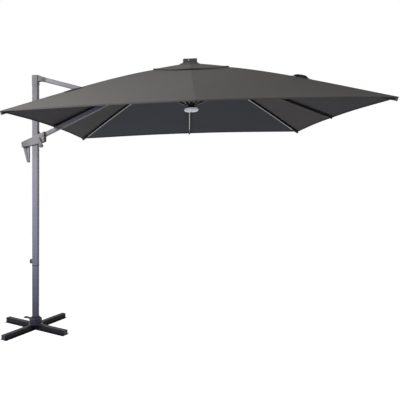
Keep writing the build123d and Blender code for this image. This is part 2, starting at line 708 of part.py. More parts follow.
def tip_cap(turn, start):
    """The outer end of a rib's plug, cut away below."""
    end = start + TIP_CAP_LONG
    cap = roofed(turn, start, end, RIB_TALL, RIB_WIDE, RIB_CHAMFER)
    low = bow(turn, start) - RIB_TALL / 2
    away = Polygon((start + 1, low - 1), (end + 1, low - 1), (end + 1, low + RIB_TALL / 2), align=None)
    return cap - upright(away, -RIB_WIDE, RIB_WIDE)


def rib_frame(turn):
    return radial(turn) * Location((HINGE_RADIUS, 0, 0), (0, rib_slope(turn), 0))


def rib(turn):
    """A hollow rib with its hinge eye, its stretcher's lug and pin, its tip plug and its strip of lamps."""
    chord = rib_chord(turn)
    at = stretcher_at(turn)
    start = HINGE_RADIUS - CROWN_CORE
    inner_edge = RIB_CHAMFER - RIB_WALL * (2 - math.sqrt(2))
    end = chord - TIP_SHORT - TIP_CAP_LONG
    hollow_start = start + RIB_ROOT_LONG
    hollow = roofed(
        turn, hollow_start, end + RIB_WALL, RIB_TALL - 2 * RIB_WALL, RIB_WIDE - 2 * RIB_WALL, inner_edge
    )
    bar = roofed(turn, start, end, RIB_TALL, RIB_WIDE, RIB_CHAMFER) - hollow
    half_eye = RIB_EYE_WIDE / 2
    bar += upright(Circle(RIB_EYE_RADIUS), -half_eye, half_eye)
    bar += upright(Pos(start * 2 / 3, 0) * Rectangle(start * 4 / 3, RIB_WIDE), -half_eye, half_eye)
    bar -= pin_across(0, 0, PIN / 2 + RUNNING, -RIB_WIDE, RIB_WIDE)
    lug_top = bow(turn, at) - RIB_TALL / 2 + RIB_WALL
    lug = Pos(at, 0) * Circle(STRETCHER_LUG)
    lug += Pos(at, lug_top / 2) * Rectangle(2 * STRETCHER_LUG, lug_top)
    bar += upright(lug, -RIB_WIDE / 2, RIB_WIDE / 2)
    bar += pin_across(at, 0, PIN / 2, -STRAP_OUTSIDE, STRAP_OUTSIDE)
    plug_tall = RIB_TALL - 2 * RIB_WALL - 2 * PLUG_PLAY
    plug_wide = RIB_WIDE - 2 * RIB_WALL - 2 * PLUG_PLAY
    plug = roofed(turn, end - TIP_PLUG_LONG, end, plug_tall, plug_wide, inner_edge)
    plug += tip_cap(turn, end)
    led_top = -RIB_TALL / 2 - LED_SEAT
    strip = rib_strip(turn, at + LED_START, chord - LED_STOP, led_top - LED_THICK, led_top)
    led = upright(strip, -LED_WIDE / 2, LED_WIDE / 2)
    return Compound(children=[rib_frame(turn) * solid for solid in (bar, plug, led)])


def stretcher(turn):
    """Two straps with a bar between them, forked at the rib and at the runner."""
    length = stretcher_long(turn)
    slope = stretcher_slope(turn, rib_slope(turn), OPEN_DEPTH)
    strap = capsule(0, 0, length, 0, STRAP_TALL / 2)
    piece = both_sides(strap, STRAP_INSIDE, STRAP_OUTSIDE)
    middle = block(
        (FORK_INNER, length - FORK_OUTER), (-STRAP_INSIDE, STRAP_INSIDE), (-STRAP_TALL / 2, STRAP_TALL / 2)
    )
    piece += middle
    piece -= pin_across(length, 0, PIN / 2 + RUNNING, -RIB_WIDE, RIB_WIDE)
    if is_corner(turn):
        head = Circle(RIVET_RADIUS)
        piece += both_sides(head, STRAP_OUTSIDE, STRAP_OUTSIDE + RIVET_HEAD)
    else:
        piece -= pin_across(0, 0, PIN / 2 + RUNNING, -RIB_WIDE, RIB_WIDE)
    place = Location((HINGE_RADIUS, 0, -OPEN_DEPTH), (0, -slope, 0))
    return radial(turn) * place * piece


def runner_hub():
    """The hub that rides up and down the canopy's axis, with a lug for each stretcher."""
    half = RUNNER_TALL / 2
    hub = disc(RUNNER_CORE, -OPEN_DEPTH - half, -OPEN_DEPTH + half)
    lug = capsule(RUNNER_CORE - 8, -OPEN_DEPTH, HINGE_RADIUS, -OPEN_DEPTH, STRAP_TALL / 2)
    plain = upright(lug, -RUNNER_LUG_WIDE / 2, RUNNER_LUG_WIDE / 2)
    pinned = plain + pin_across(HINGE_RADIUS, -OPEN_DEPTH, PIN / 2, -STRAP_OUTSIDE, STRAP_OUTSIDE)
    for _, turn in SIDES:
        hub += Rot(0, 0, turn) * (plain if is_corner(turn) else pinned)
    return CROWN * hub


def turned(points):
    """Turn an outline about the canopy's axis. Each point is a radius and a height."""
    return revolve(Plane.XZ * make_face(Polyline(*points, close=True)), Axis.Z)


def lamp_body():
    """The lamp's upper shell."""
    wall = LAMP_WALL
    outline = [
        (0, LAMP_TOP_Z), (LAMP_TOP_RADIUS, LAMP_TOP_Z), (LAMP_SPLIT_RADIUS, LAMP_SPLIT_Z),
        (LAMP_SPLIT_RADIUS - wall, LAMP_SPLIT_Z), (LAMP_TOP_RADIUS - 2, LAMP_TOP_Z - wall),
        (0, LAMP_TOP_Z - wall),
    ]
    return CROWN * turned(outline)


def lamp_diffuser():
    """The lamp's lens, widest below the shell it hangs from, with a guide for the push button."""
    wall = LAMP_WALL
    hole = BUTTON_RADIUS + SIDE_PLAY
    outline = [
        (hole, LAMP_LOW_Z), (LAMP_RADIUS * 0.6, LAMP_LOW_Z + 3), (LAMP_RADIUS * 0.88, LAMP_LOW_Z + 10),
        (LAMP_RADIUS, LAMP_RIM_Z), (LAMP_SPLIT_RADIUS, LAMP_SPLIT_Z),
        (LAMP_SPLIT_RADIUS - wall, LAMP_SPLIT_Z), (LAMP_RADIUS - wall, LAMP_RIM_Z),
        (LAMP_RADIUS * 0.88 - wall, LAMP_LOW_Z + 10 + wall), (LAMP_RADIUS * 0.6, LAMP_LOW_Z + 3 + wall),
        (hole, LAMP_LOW_Z + wall),
    ]
    guide = disc(hole + wall, LAMP_LOW_Z + wall, LAMP_LOW_Z + 18) - disc(hole, LAMP_LOW_Z, LAMP_LOW_Z + 19)
    return CROWN * (turned(outline) + guide)


def lamp_button():
    top = LAMP_LOW_Z + 12
    button = disc(BUTTON_RADIUS, LAMP_LOW_Z - BUTTON_PROUD, top)
    return CROWN * fillet(button.faces().sort_by(Axis.Z)[0].edges(), 1.5)


# ---- fabric ----
def rib_top(turn, out):
    """Height of the fabric over a rib, where out is the larger of the distances along X and Y."""
    slope = rib_slope(turn)
    reach = out * (math.sqrt(2) if is_corner(turn) else 1) - HINGE_RADIUS
    lift = CORNER_LIFT if is_corner(turn) else FABRIC_LIFT
    above = bow(turn, reach / cos(slope)) + RIB_TALL / 2
    return -reach * tan(slope) + above / cos(slope) + lift


def cap_hem():
    return rib_top(45, CAP_HALF) + CAP_HEM_UP


def cap_top(out):
    share = (out - CAP_NECK) / (CAP_HALF - CAP_NECK)
    return CAP_NECK_Z + (cap_hem() - CAP_NECK_Z) * share**CAP_CURVE


def cap_tab_top():
    """Height inside the cap's fabric at its tabs."""
    inner = cap_top(CAP_ROWS[-2])
    share = (CAP_HALF - CAP_TAB_OUT) / (CAP_HALF - CAP_ROWS[-2])
    return cap_hem() + (inner - cap_hem()) * share + FABRIC_THICK / 2


def line_top(out):
    """Height of the main fabric on the line halfway between two ribs."""
    share = out / HALF
    level = rib_top(0, out) * (1 - tan(22.5)) + rib_top(45, out) * tan(22.5)
    return level + HEM_RISE * share**4 - PANEL_SAG * 4 * share * (1 - share)


def fabric_row(turn, out, rib_z, line_z, inset=0.0):
    """Three points across one panel: on the line before its rib, on the rib and on the line after it."""
    reach = out * (math.sqrt(2) if is_corner(turn) else 1)
    points = []
    for side in (-1, 0, 1):
        if side == 0:
            points.append(Vector(reach, 0, rib_z))
            continue
        far = (out - inset) / cos(22.5)
        angle = side * 22.5
        x = far * cos(angle) + PANEL_GAP * sin(22.5)
        y = far * sin(angle) - side * PANEL_GAP * cos(22.5)
        points.append(Vector(x, y, line_z))
    return points


def thick_sheet(rows):
    """A sheet of fabric through rows of three points, thickened upwards."""
    up = Vector(0, 0, FABRIC_THICK)
    faces = []

    def face(*points):
        faces.append(Face(Wire.make_polygon(points, close=True)))

    def wall(a, b):
        face(a, b, b + up, a + up)

    for row, following in zip(rows, rows[1:]):
        for a, b in ((0, 1), (1, 2)):
            for lift in (Vector(0, 0, 0), up):
                face(row[a] + lift, row[b] + lift, following[b] + lift)
                face(row[a] + lift, following[b] + lift, following[a] + lift)
        wall(row[0], following[0])
        wall(row[2], following[2])
    for row in (rows[0], rows[-1]):
        wall(row[0], row[1])
        wall(row[1], row[2])
    return Solid(Shell(faces))


def canopy_panel(turn):
    """The fabric that one rib carries, with its share of the vent cap sewn on at the rib."""
    steps = 12
    outs = [VENT_HALF + (HALF - VENT_HALF) * n / steps for n in range(steps + 1)]
    main = []
    for out in outs:
        inset = HEM_RISE * (out / HALF) ** 4
        main.append(fabric_row(turn, out, rib_top(turn, out), line_top(out), inset))
    cap = [fabric_row(turn, out, cap_top(out), cap_top(out)) for out in CAP_ROWS]
    fabric = thick_sheet(main) + thick_sheet(cap)
    reach = CAP_TAB_OUT * (math.sqrt(2) if is_corner(turn) else 1)
    tab_low = rib_top(turn, CAP_TAB_OUT) + FABRIC_THICK / 2
    ends = (reach - CAP_TAB_LONG / 2, reach + CAP_TAB_LONG / 2)
    fabric += block(ends, (-CAP_TAB / 2, CAP_TAB / 2), (tab_low, cap_tab_top()))
    if turn == 180:
        middle = (rib_top(0, CAP_TAB_OUT) + line_top(CAP_TAB_OUT)) / 2
        side = CAP_TAB - SLOT_NEAR
        fabric += block(ends, (side, side + CAP_TAB), (middle, cap_tab_top()))
    if turn in (180, 225):
        slot = block((-SLOT_LONG, 0), (SLOT_NEAR, SLOT_FAR), (-AMPLE, AMPLE))
        fabric -= Rot(0, 0, -turn) * slot
    return radial(turn) * fabric


# ---- slider housing, grip, lever and crank ----
def housing_outline():
    """The casting's side view. Its upper edge runs parallel with the boom."""
    rise = tan(BOOM_SLOPE)
    top = BOOM_AXIS_Z + 32
    back_x = -144.0
    front_x = 104.0
    return Polygon(
        (back_x, top + back_x * rise * 0.9), (front_x, top + front_x * rise),
        (front_x, BOOM_AXIS_Z - 24), (36, BOOM_AXIS_Z - 52), (-52, BOOM_AXIS_Z - 72),
        (back_x + 6, BOOM_AXIS_Z - 88),
        align=None,
    )


def slider_housing():
    """The casting that slides on the mast, with a fork at its front for the boom's tongue."""
    half = HOUSING_WIDE / 2
    casting = upright(housing_outline(), -half, half)
    side_edges = casting.edges().filter_by(Axis.Y, reverse=True)
    casting = fillet(side_edges, HOUSING_EDGE)
    way = mast_column(BOOM_AXIS_Z - 200, BOOM_AXIS_Z + 200, GUIDE_PLAY + LINER)
    casting -= way
    gap = CLEVIS_GAP / 2
    casting -= block((CLEVIS_X, 200), (-gap, gap), (BOOM_AXIS_Z - 200, BOOM_AXIS_Z + 200))
    casting += both_sides(Pos(ROOT_X, ROOT_Z) * Circle(13), half, half + 3)
    casting -= lever_pocket()
    bore = pin_across(CRANK_X, CRANK_Z, CRANK_SHAFT / 2 + RUNNING, -half - 1, -half + CRANK_SHAFT_IN + 0.5)
    return casting - bore


def lever_pocket():
    """The room for the lever's upper end: a pocket behind the grip and a slot on each side of it."""
    back = GRIP_X - LEVER_BACK - 2
    grip_back = GRIP_X - GRIP_THICK / 2
    low = BOOM_AXIS_Z - 200
    pocket = block((back, grip_back), (-POCKET_SIDE, POCKET_SIDE), (low, POCKET_TOP_Z))
    for side in (-1, 1):
        inside, outside = sorted((side * GRIP_WIDE / 2, side * POCKET_SIDE))
        pocket += block((grip_back - 1, grip_back + GRIP_THICK), (inside, outside), (low, POCKET_TOP_Z))
    return pocket


def slider_liners():
    """Two plastic liners that run on the mast, one at each end of the housing's way."""
    liners = []
    for low in (BOOM_AXIS_Z - 52, BOOM_AXIS_Z - 4):
        ring = mast_column(low, low + LINER_TALL, GUIDE_PLAY + LINER)
        liners.append(ring - mast_column(low - 1, low + LINER_TALL + 1, GUIDE_PLAY))
    return Compound(children=liners)


def grip_bar():
    """The upright bar that the hand pulls, under the housing's back end."""
    half = GRIP_WIDE / 2
    outline = capsule(GRIP_X, GRIP_LOW_Z, GRIP_X, BOOM_AXIS_Z, GRIP_THICK / 2)
    bar = fillet(upright(outline, -half, half).edges().filter_by(Axis.Y, reverse=True), 4)
    inside = upright(housing_outline(), -60, 60)
    bar -= inside
    bar = bar.solids().sort_by(Axis.Z)[0]
    outside = half + SIDE_PLAY + LEVER_SIDE
    return bar + pin_across(GRIP_X, GRIP_LOW_Z, LEVER_PIN / 2, -outside, outside)


def release_lever():
    """A bent channel that straddles the grip, turns on its foot and lets the slider go when squeezed."""
    inside = GRIP_WIDE / 2 + SIDE_PLAY
    outside = inside + LEVER_SIDE
    foot = GRIP_THICK / 2
    top_back = GRIP_X - LEVER_BACK
    knee_z = GRIP_LOW_Z + LEVER_KNEE
    cheek = Polygon(
        (GRIP_X + 5, GRIP_LOW_Z), (GRIP_X - foot, GRIP_LOW_Z), (top_back, knee_z), (top_back, LEVER_TOP_Z),
        (top_back + 31, LEVER_TOP_Z),
        align=None,
    )
    eye = Pos(GRIP_X, GRIP_LOW_Z) * Circle(foot - 1)
    low_back = GRIP_X - foot - (LEVER_BACK - foot) * LEVER_WEB_LOW / LEVER_KNEE
    web_low = GRIP_LOW_Z + LEVER_WEB_LOW
    web = Polygon(
        (low_back, web_low), (top_back, knee_z), (top_back, LEVER_TOP_Z),
        (top_back + LEVER_WEB, LEVER_TOP_Z),
        (top_back + LEVER_WEB, knee_z), (low_back + LEVER_WEB, web_low),
        align=None,
    )
    lever = both_sides(cheek + eye, inside, outside) + upright(web, -outside, outside)
    return lever - pin_across(GRIP_X, GRIP_LOW_Z, LEVER_PIN / 2 + RUNNING, -60, 60)


def crank_end():
    return CRANK_X + CRANK_LONG * cos(CRANK_REST), CRANK_Z - CRANK_LONG * sin(CRANK_REST)


def crank_arm():
    """The winding crank: a shaft in the housing's near side, a flat arm and the knob's pin."""
    face_y = -HOUSING_WIDE / 2
    arm_back = face_y - CRANK_STANDOFF
    arm_front = arm_back - CRANK_THICK
    end_x, end_z = crank_end()
    arm = upright(capsule(CRANK_X, CRANK_Z, end_x, end_z, CRANK_WIDE / 2), arm_front, arm_back)
    hub = pin_across(CRANK_X, CRANK_Z, CRANK_WIDE / 2 + 3, arm_front, face_y - SIDE_PLAY)
    shaft = pin_across(CRANK_X, CRANK_Z, CRANK_SHAFT / 2, arm_back, face_y + CRANK_SHAFT_IN)
    pin = pin_across(end_x, end_z, KNOB_PIN / 2, arm_front - KNOB_LONG + 4, arm_front)
    return arm + hub + shaft + pin


def crank_knob():
    end_x, end_z = crank_end()
    back = -HOUSING_WIDE / 2 - CRANK_STANDOFF - CRANK_THICK - SIDE_PLAY
    knob = pin_across(end_x, end_z, KNOB_RADIUS, back - KNOB_LONG, back)
    knob = fillet(knob.edges().filter_by(GeomType.CIRCLE), 5)
    return knob - pin_across(end_x, end_z, KNOB_PIN / 2 + RUNNING, back - KNOB_LONG + 4, back + 1)


PIECES = {
    "cross_bar_lower": cross_bar_lower,
    "cross_bar_upper": cross_bar_upper,
    "leg_end_caps": leg_end_caps,
    "base_plate": base_plate,
    "base_bolts": base_bolts,
    "swivel_housing": swivel_housing,
    "swivel_bush": swivel_bush,
    "foot_pedal": foot_pedal,
    "mast_spindle": mast_spindle,
    "lower_mast": lower_mast,
    "upper_mast": upper_mast,
    "joint_sleeve": joint_sleeve,
    "mast_head": mast_head,
    "strut_pin": strut_pin,
    "slider_stop": slider_stop,
    "clamp_knob": clamp_knob,
    "strut_tube": strut_tube,
    "strut_eye": strut_eye,
    "strut_fork": strut_fork,
    "boom_tube": boom_tube,
    "boom_root": boom_root,
    "boom_end_fitting": boom_end_fitting,
    "crown_hub": crown_hub,
    "crown_bolts": crown_bolts,
    "solar_box": solar_box,
    "solar_panel": solar_panel,
    "runner_hub": runner_hub,
    "lamp_body": lamp_body,
    "lamp_diffuser": lamp_diffuser,
    "lamp_button": lamp_button,
    "slider_housing": slider_housing,
    "slider_liners": slider_liners,
    "grip_bar": grip_bar,
    "release_lever": release_lever,
    "crank_arm": crank_arm,
    "crank_knob": crank_knob,
}


def save(name, shape):
    export_step(shape, os.path.join("parts", name + ".step"))


os.makedirs("parts", exist_ok=True)
for name, make in PIECES.items():
    save(name, make())
for side, turn in SIDES:
    save("rib_" + side, rib(turn))
    save("stretcher_" + side, stretcher(turn))
    save("canopy_panel_" + side, canopy_panel(turn))
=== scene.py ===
import bpy
import bmesh
import math
from mathutils import Matrix, Vector


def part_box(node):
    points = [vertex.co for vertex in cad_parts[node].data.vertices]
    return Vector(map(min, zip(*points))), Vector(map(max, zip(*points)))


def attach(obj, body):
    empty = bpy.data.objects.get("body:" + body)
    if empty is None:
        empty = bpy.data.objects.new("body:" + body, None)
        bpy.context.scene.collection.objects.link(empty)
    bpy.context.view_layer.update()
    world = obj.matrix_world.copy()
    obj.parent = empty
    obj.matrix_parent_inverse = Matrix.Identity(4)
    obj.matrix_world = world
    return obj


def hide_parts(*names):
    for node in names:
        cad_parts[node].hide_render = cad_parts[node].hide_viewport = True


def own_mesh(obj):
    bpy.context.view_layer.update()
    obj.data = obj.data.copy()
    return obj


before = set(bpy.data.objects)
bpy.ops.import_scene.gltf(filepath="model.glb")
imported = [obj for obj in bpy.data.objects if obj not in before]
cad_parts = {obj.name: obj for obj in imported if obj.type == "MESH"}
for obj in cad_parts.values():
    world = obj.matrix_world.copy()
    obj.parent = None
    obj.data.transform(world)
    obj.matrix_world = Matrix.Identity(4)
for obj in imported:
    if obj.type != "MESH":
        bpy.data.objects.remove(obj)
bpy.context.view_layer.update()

# ---- Camera ----
# A long, level view across the near side of the canopy, from a standing person's eye height. The frame is
# shifted so that the canopy's far corner and the base both stay in it without tilting the verticals.
eye_lens = bpy.data.cameras.new("eye")
eye_lens.sensor_width = 36
eye_lens.lens = 42.147
eye_lens.shift_x = 0.0871
eye_lens.shift_y = -0.0720
eye_lens.clip_end = 60
eye = bpy.data.objects.new("eye", eye_lens)
eye.location = (1.5649, -4.9891, 1.6863)
eye.rotation_euler = (math.radians(90), 0, math.radians(1.964))
bpy.context.collection.objects.link(eye)
bpy.context.scene.camera = eye

# ---- Daylight, lamps and floor ----
# An overcast daylight from all round, a broad soft lamp from the upper left, and a pale floor that keeps
# the parasol's shadow. The floor and the sky both show as white behind it.
bpy.context.scene.view_settings.view_transform = "Standard"


def connect(tree, source, target):
    tree.links.new(source, target)


def new_material(name):
    """An empty material and its node tree, with only the output node in it."""
    material = bpy.data.materials.new(name)
    material.use_nodes = True
    tree = material.node_tree
    tree.nodes.clear()
    tree.nodes.new("ShaderNodeOutputMaterial")
    return material, tree


def maths(tree, operation, first, second=0.0):
    """A math node between two values, each a socket or a number."""
    node = tree.nodes.new("ShaderNodeMath")
    node.operation = operation
    for socket, value in zip(node.inputs, (first, second)):
        if isinstance(value, (int, float)):
            socket.default_value = value
        else:
            connect(tree, value, socket)
    return node.outputs[0]


def shown_white(tree):
    """One where the eye, a reflection or a clear cover looks at the background, and nought elsewhere."""
    seen = tree.nodes.new("ShaderNodeLightPath").outputs
    either = maths(tree, "MAXIMUM", seen["Is Camera Ray"], seen["Is Glossy Ray"])
    return maths(tree, "MAXIMUM", either, seen["Is Transmission Ray"])


daylight = bpy.data.worlds.new("daylight")
daylight.use_nodes = True
bpy.context.scene.world = daylight
sky = daylight.node_tree
sky.nodes.clear()
sky_light = sky.nodes.new("ShaderNodeBackground")
sky_light.inputs["Color"].default_value = (0.93, 0.95, 1.0, 1)
sky_light.inputs["Strength"].default_value = 0.24
sky_white = sky.nodes.new("ShaderNodeBackground")
sky_white.inputs["Color"].default_value = (1, 1, 1, 1)
sky_white.inputs["Strength"].default_value = 1.0
sky_mix = sky.nodes.new("ShaderNodeMixShader")
sky_out = sky.nodes.new("ShaderNodeOutputWorld")
connect(sky, shown_white(sky), sky_mix.inputs[0])
connect(sky, sky_light.outputs[0], sky_mix.inputs[1])
connect(sky, sky_white.outputs[0], sky_mix.inputs[2])
connect(sky, sky_mix.outputs[0], sky_out.inputs[0])


def soft_lamp(name, place, target, width, power, colour=(1, 1, 1)):
    """A square lamp at one place that looks at another. The power is in watts."""
    lamp = bpy.data.lights.new(name, "AREA")
    lamp.shape = "SQUARE"
    lamp.size = width
    lamp.energy = power
    lamp.color = colour
    stand = bpy.data.objects.new(name, lamp)
    stand.location = place
    stand.rotation_euler = (Vector(target) - Vector(place)).to_track_quat("-Z", "Y").to_euler()
    bpy.context.collection.objects.link(stand)


soft_lamp("lamp_left", (-1.9, -3.0, 3.6), (0.8, -0.6, 2.1), 1.6, 170, (1.0, 0.985, 0.96))
soft_lamp("lamp_back", (-1.0, 5.0, 5.5), (1.6, 0.5, 2.2), 3.0, 70)

floor_mesh = bpy.data.meshes.new("floor")
floor_mesh.from_pydata([(-30, -30, 0), (30, -30, 0), (30, 30, 0), (-30, 30, 0)], [], [(0, 1, 2, 3)])
floor = bpy.data.objects.new("floor", floor_mesh)
floor.location.z = -0.0005
bpy.context.collection.objects.link(floor)
floor_paint, tree = new_material("floor_pale")
floor_matt = tree.nodes.new("ShaderNodeBsdfDiffuse")
floor_matt.inputs["Color"].default_value = (0.42, 0.42, 0.43, 1)
floor_glow = tree.nodes.new("ShaderNodeEmission")
floor_glow.inputs["Color"].default_value = (1, 1, 1, 1)
floor_glow.inputs["Strength"].default_value = 0.91
floor_sum = tree.nodes.new("ShaderNodeAddShader")
floor_mix = tree.nodes.new("ShaderNodeMixShader")
connect(tree, floor_matt.outputs[0], floor_sum.inputs[0])
connect(tree, floor_glow.outputs[0], floor_sum.inputs[1])
connect(tree, shown_white(tree), floor_mix.inputs[0])
connect(tree, floor_matt.outputs[0], floor_mix.inputs[1])
connect(tree, floor_sum.outputs[0], floor_mix.inputs[2])
connect(tree, floor_mix.outputs[0], tree.nodes["Material Output"].inputs["Surface"])
floor_mesh.materials.append(floor_paint)

# ---- Crossed base bars, their end caps, plate and bolts ----
# Two rolled steel top-hat bars lap at the middle under a square plate and are powder coated black. Paving
# slabs stand on their flanges, so the coat is scuffed along the edges. Plastic caps plug the open ends.


def start_group(name, inputs, outputs):
    """A shader node group with named float, colour and vector sockets."""
    group = bpy.data.node_groups.new(name, "ShaderNodeTree")
    kinds = {"f": "NodeSocketFloat", "c": "NodeSocketColor", "v": "NodeSocketVector"}
    for label, kind, value in inputs:
        socket = group.interface.new_socket(label, in_out="INPUT", socket_type=kinds[kind])
        if value is not None:
            socket.default_value = value
    for label, kind in outputs:
        group.interface.new_socket(label, in_out="OUTPUT", socket_type=kinds[kind])
    return group, group.nodes.new("NodeGroupInput"), group.nodes.new("NodeGroupOutput")


def noise(tree, vector, scale, detail=3.0, roughness=0.55):
    """Cloudy noise between nought and one. The scale is a socket or a number."""
    node = tree.nodes.new("ShaderNodeTexNoise")
    node.inputs["Detail"].default_value = detail
    node.inputs["Roughness"].default_value = roughness
    connect(tree, vector, node.inputs["Vector"])
    if isinstance(scale, (int, float)):
        node.inputs["Scale"].default_value = scale
    else:
        connect(tree, scale, node.inputs["Scale"])
    return node.outputs["Fac"]


def ramp(tree, value, low, high, to_low=0.0, to_high=1.0):
    """Maps a value from one range to another, and clamps it."""
    node = tree.nodes.new("ShaderNodeMapRange")
    node.inputs["From Min"].default_value = low
    node.inputs["From Max"].default_value = high
    node.inputs["To Min"].default_value = to_low
    node.inputs["To Max"].default_value = to_high
    connect(tree, value, node.inputs["Value"])
    return node.outputs["Result"]


def blend_colour(tree, share, first, second, blend_type="MIX"):
    """Mixes two colours by a share. Each of the three is a socket or a plain value."""
    node = tree.nodes.new("ShaderNodeMix")
    node.data_type = "RGBA"
    node.blend_type = blend_type
    for socket, value in ((node.inputs["Factor"], share), (node.inputs[6], first), (node.inputs[7], second)):
        if isinstance(value, (int, float, tuple)):
            socket.default_value = value
        else:
            connect(tree, value, socket)
    return node.outputs[2]


def bump(tree, height, strength, distance, base=None):
    """The surface's normal, tilted by the slope of a height map. One of the map stands for the distance."""
    node = tree.nodes.new("ShaderNodeBump")
    node.inputs["Strength"].default_value = strength
    node.inputs["Distance"].default_value = distance
    connect(tree, height, node.inputs["Height"])
    if base is not None:
        connect(tree, base, node.inputs["Normal"])
    return node.outputs[0]


def sharp_edges(tree, radius, sharpest):
    """A mask that is one on sharp edges, and the normal with its edges rounded off. The mask is full where the
    two normals agree by no more than the sharpest value."""
    soft = tree.nodes.new("ShaderNodeBevel")
    soft.samples = 6
    connect(tree, radius, soft.inputs["Radius"])
    across = tree.nodes.new("ShaderNodeVectorMath")
    across.operation = "DOT_PRODUCT"
    connect(tree, soft.outputs[0], across.inputs[0])
    connect(tree, tree.nodes.new("ShaderNodeNewGeometry").outputs["Normal"], across.inputs[1])
    return ramp(tree, across.outputs["Value"], 0.985, sharpest), soft.outputs[0]


def object_place(tree):
    return tree.nodes.new("ShaderNodeTexCoord").outputs["Object"]


def split(tree, vector):
    """A vector's X, Y and Z outputs."""
    node = tree.nodes.new("ShaderNodeSeparateXYZ")
    connect(tree, vector, node.inputs[0])
    return node.outputs


def surface_shader(tree, colour, roughness, normal=None, plain=None):
    """The material's own shader. Values that vary come from sockets, and plain ones are set on it by label."""
    shader = tree.nodes.new("ShaderNodeBsdfPrincipled")
    for label, value in (plain or {}).items():
        shader.inputs[label].default_value = value
    connect(tree, colour, shader.inputs["Base Color"])
    connect(tree, roughness, shader.inputs["Roughness"])
    if normal is not None:
        connect(tree, normal, shader.inputs["Normal"])
    connect(tree, shader.outputs[0], tree.nodes["Material Output"].inputs["Surface"])
    return shader


def powder_coat_group():
    """Baked powder paint: a fine pebbled skin, slow changes of tone, dust on top and bare edges."""
    group, given, put = start_group(
        "powder_coat",
        [("Paint", "c", None), ("Worn", "c", None), ("Wear", "f", 0.3), ("Edge", "f", 0.0015),
         ("Pebble", "f", 900.0), ("Rough", "f", 0.45), ("Dust", "f", 0.15)],
        [("Colour", "c"), ("Roughness", "f"), ("Normal", "v")],
    )
    place = object_place(group)
    edge, rounded = sharp_edges(group, given.outputs["Edge"], 0.86)
    broken = ramp(group, noise(group, place, 60, 5), 0.45, 0.62)
    worn = maths(group, "MULTIPLY", maths(group, "MULTIPLY", edge, broken), given.outputs["Wear"])
    tone = ramp(group, noise(group, place, 6, 4), 0.25, 0.75, 0.9, 1.1)
    grain = ramp(group, noise(group, place, 230, 2), 0.3, 0.7, 0.98, 1.02)
    shade = blend_colour(group, 1, given.outputs["Paint"], maths(group, "MULTIPLY", tone, grain), "MULTIPLY")
    up = split(group, group.nodes.new("ShaderNodeNewGeometry").outputs["Normal"])["Z"]
    lying = ramp(group, up, 0.35, 0.95)
    patch = ramp(group, noise(group, place, 14, 6, 0.7), 0.38, 0.7)
    dust = maths(group, "MULTIPLY", maths(group, "MULTIPLY", lying, patch), given.outputs["Dust"])
    dusty = blend_colour(group, dust, shade, (0.32, 0.3, 0.27, 1))
    connect(group, blend_colour(group, worn, dusty, given.outputs["Worn"]), put.inputs["Colour"])
    smear = ramp(group, noise(group, place, 22, 4), 0.3, 0.7, -0.06, 0.08)
    rough = maths(group, "ADD", given.outputs["Rough"], smear)
    connect(group, maths(group, "ADD", rough, maths(group, "MULTIPLY", dust, 0.5)), put.inputs["Roughness"])
    pebbles = group.nodes.new("ShaderNodeTexVoronoi")
    connect(group, place, pebbles.inputs["Vector"])
    connect(group, given.outputs["Pebble"], pebbles.inputs["Scale"])
    connect(group, bump(group, pebbles.outputs["Distance"], 0.07, 0.0004, rounded), put.inputs["Normal"])
    return group


powder_coat = powder_coat_group()


def coat(tree, paint, worn, wear, edge, rough, dust, gloss=0.5, pebble=900.0):
    """The powder coat and the shader that it feeds. The paint is a colour or a socket."""
    layer = tree.nodes.new("ShaderNodeGroup")
    layer.node_tree = powder_coat
    if isinstance(paint, tuple):
        layer.inputs["Paint"].default_value = (*paint, 1)
    else:
        connect(tree, paint, layer.inputs["Paint"])
    layer.inputs["Worn"].default_value = (*worn, 1)
    for label, value in (("Wear", wear), ("Edge", edge), ("Pebble", pebble), ("Rough", rough), ("Dust", dust)):
        layer.inputs[label].default_value = value
    shown = layer.outputs
    surface_shader(tree, shown["Colour"], shown["Roughness"], shown["Normal"], {"Specular IOR Level": gloss})


def coated_metal(name, paint, worn, **finish):
    """Painted metal of one colour."""
    material, tree = new_material(name)
    coat(tree, paint, worn, **finish)
    return material


def finish_node(material, *nodes):
    """Gives frame nodes a material in every slot they have."""
    for node in nodes:
        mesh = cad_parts[node].data
        if not mesh.materials:
            mesh.materials.append(material)
        for index in range(len(mesh.materials)):
            mesh.materials[index] = material


base_coat = coated_metal(
    "base_black_coat", (0.0125, 0.0112, 0.0185), (0.06, 0.058, 0.065), wear=0.3, edge=0.002, rough=0.5, dust=0.015,
    gloss=0.16,
)
finish_node(base_coat, "cross_bar_lower", "cross_bar_upper")
# The plate and the swivel on it are cast and coated apart from the bars, a shade lighter and bluer.
pivot_coat = coated_metal(
    "pivot_slate_coat", (0.045, 0.044, 0.07), (0.1, 0.1, 0.115), wear=0.2, edge=0.002, rough=0.5, dust=0.015,
    gloss=0.16,
)
finish_node(pivot_coat, "base_plate", "swivel_housing")


def plain_mesh(name, points, faces):
    """A smooth-shaded object made of the given points and faces."""
    mesh = bpy.data.meshes.new(name)
    mesh.from_pydata(points, [], faces)
    mesh.validate()
    mesh.update()
    for polygon in mesh.polygons:
        polygon.use_smooth = True
    piece = bpy.data.objects.new(name, mesh)
    bpy.context.collection.objects.link(piece)
    return piece


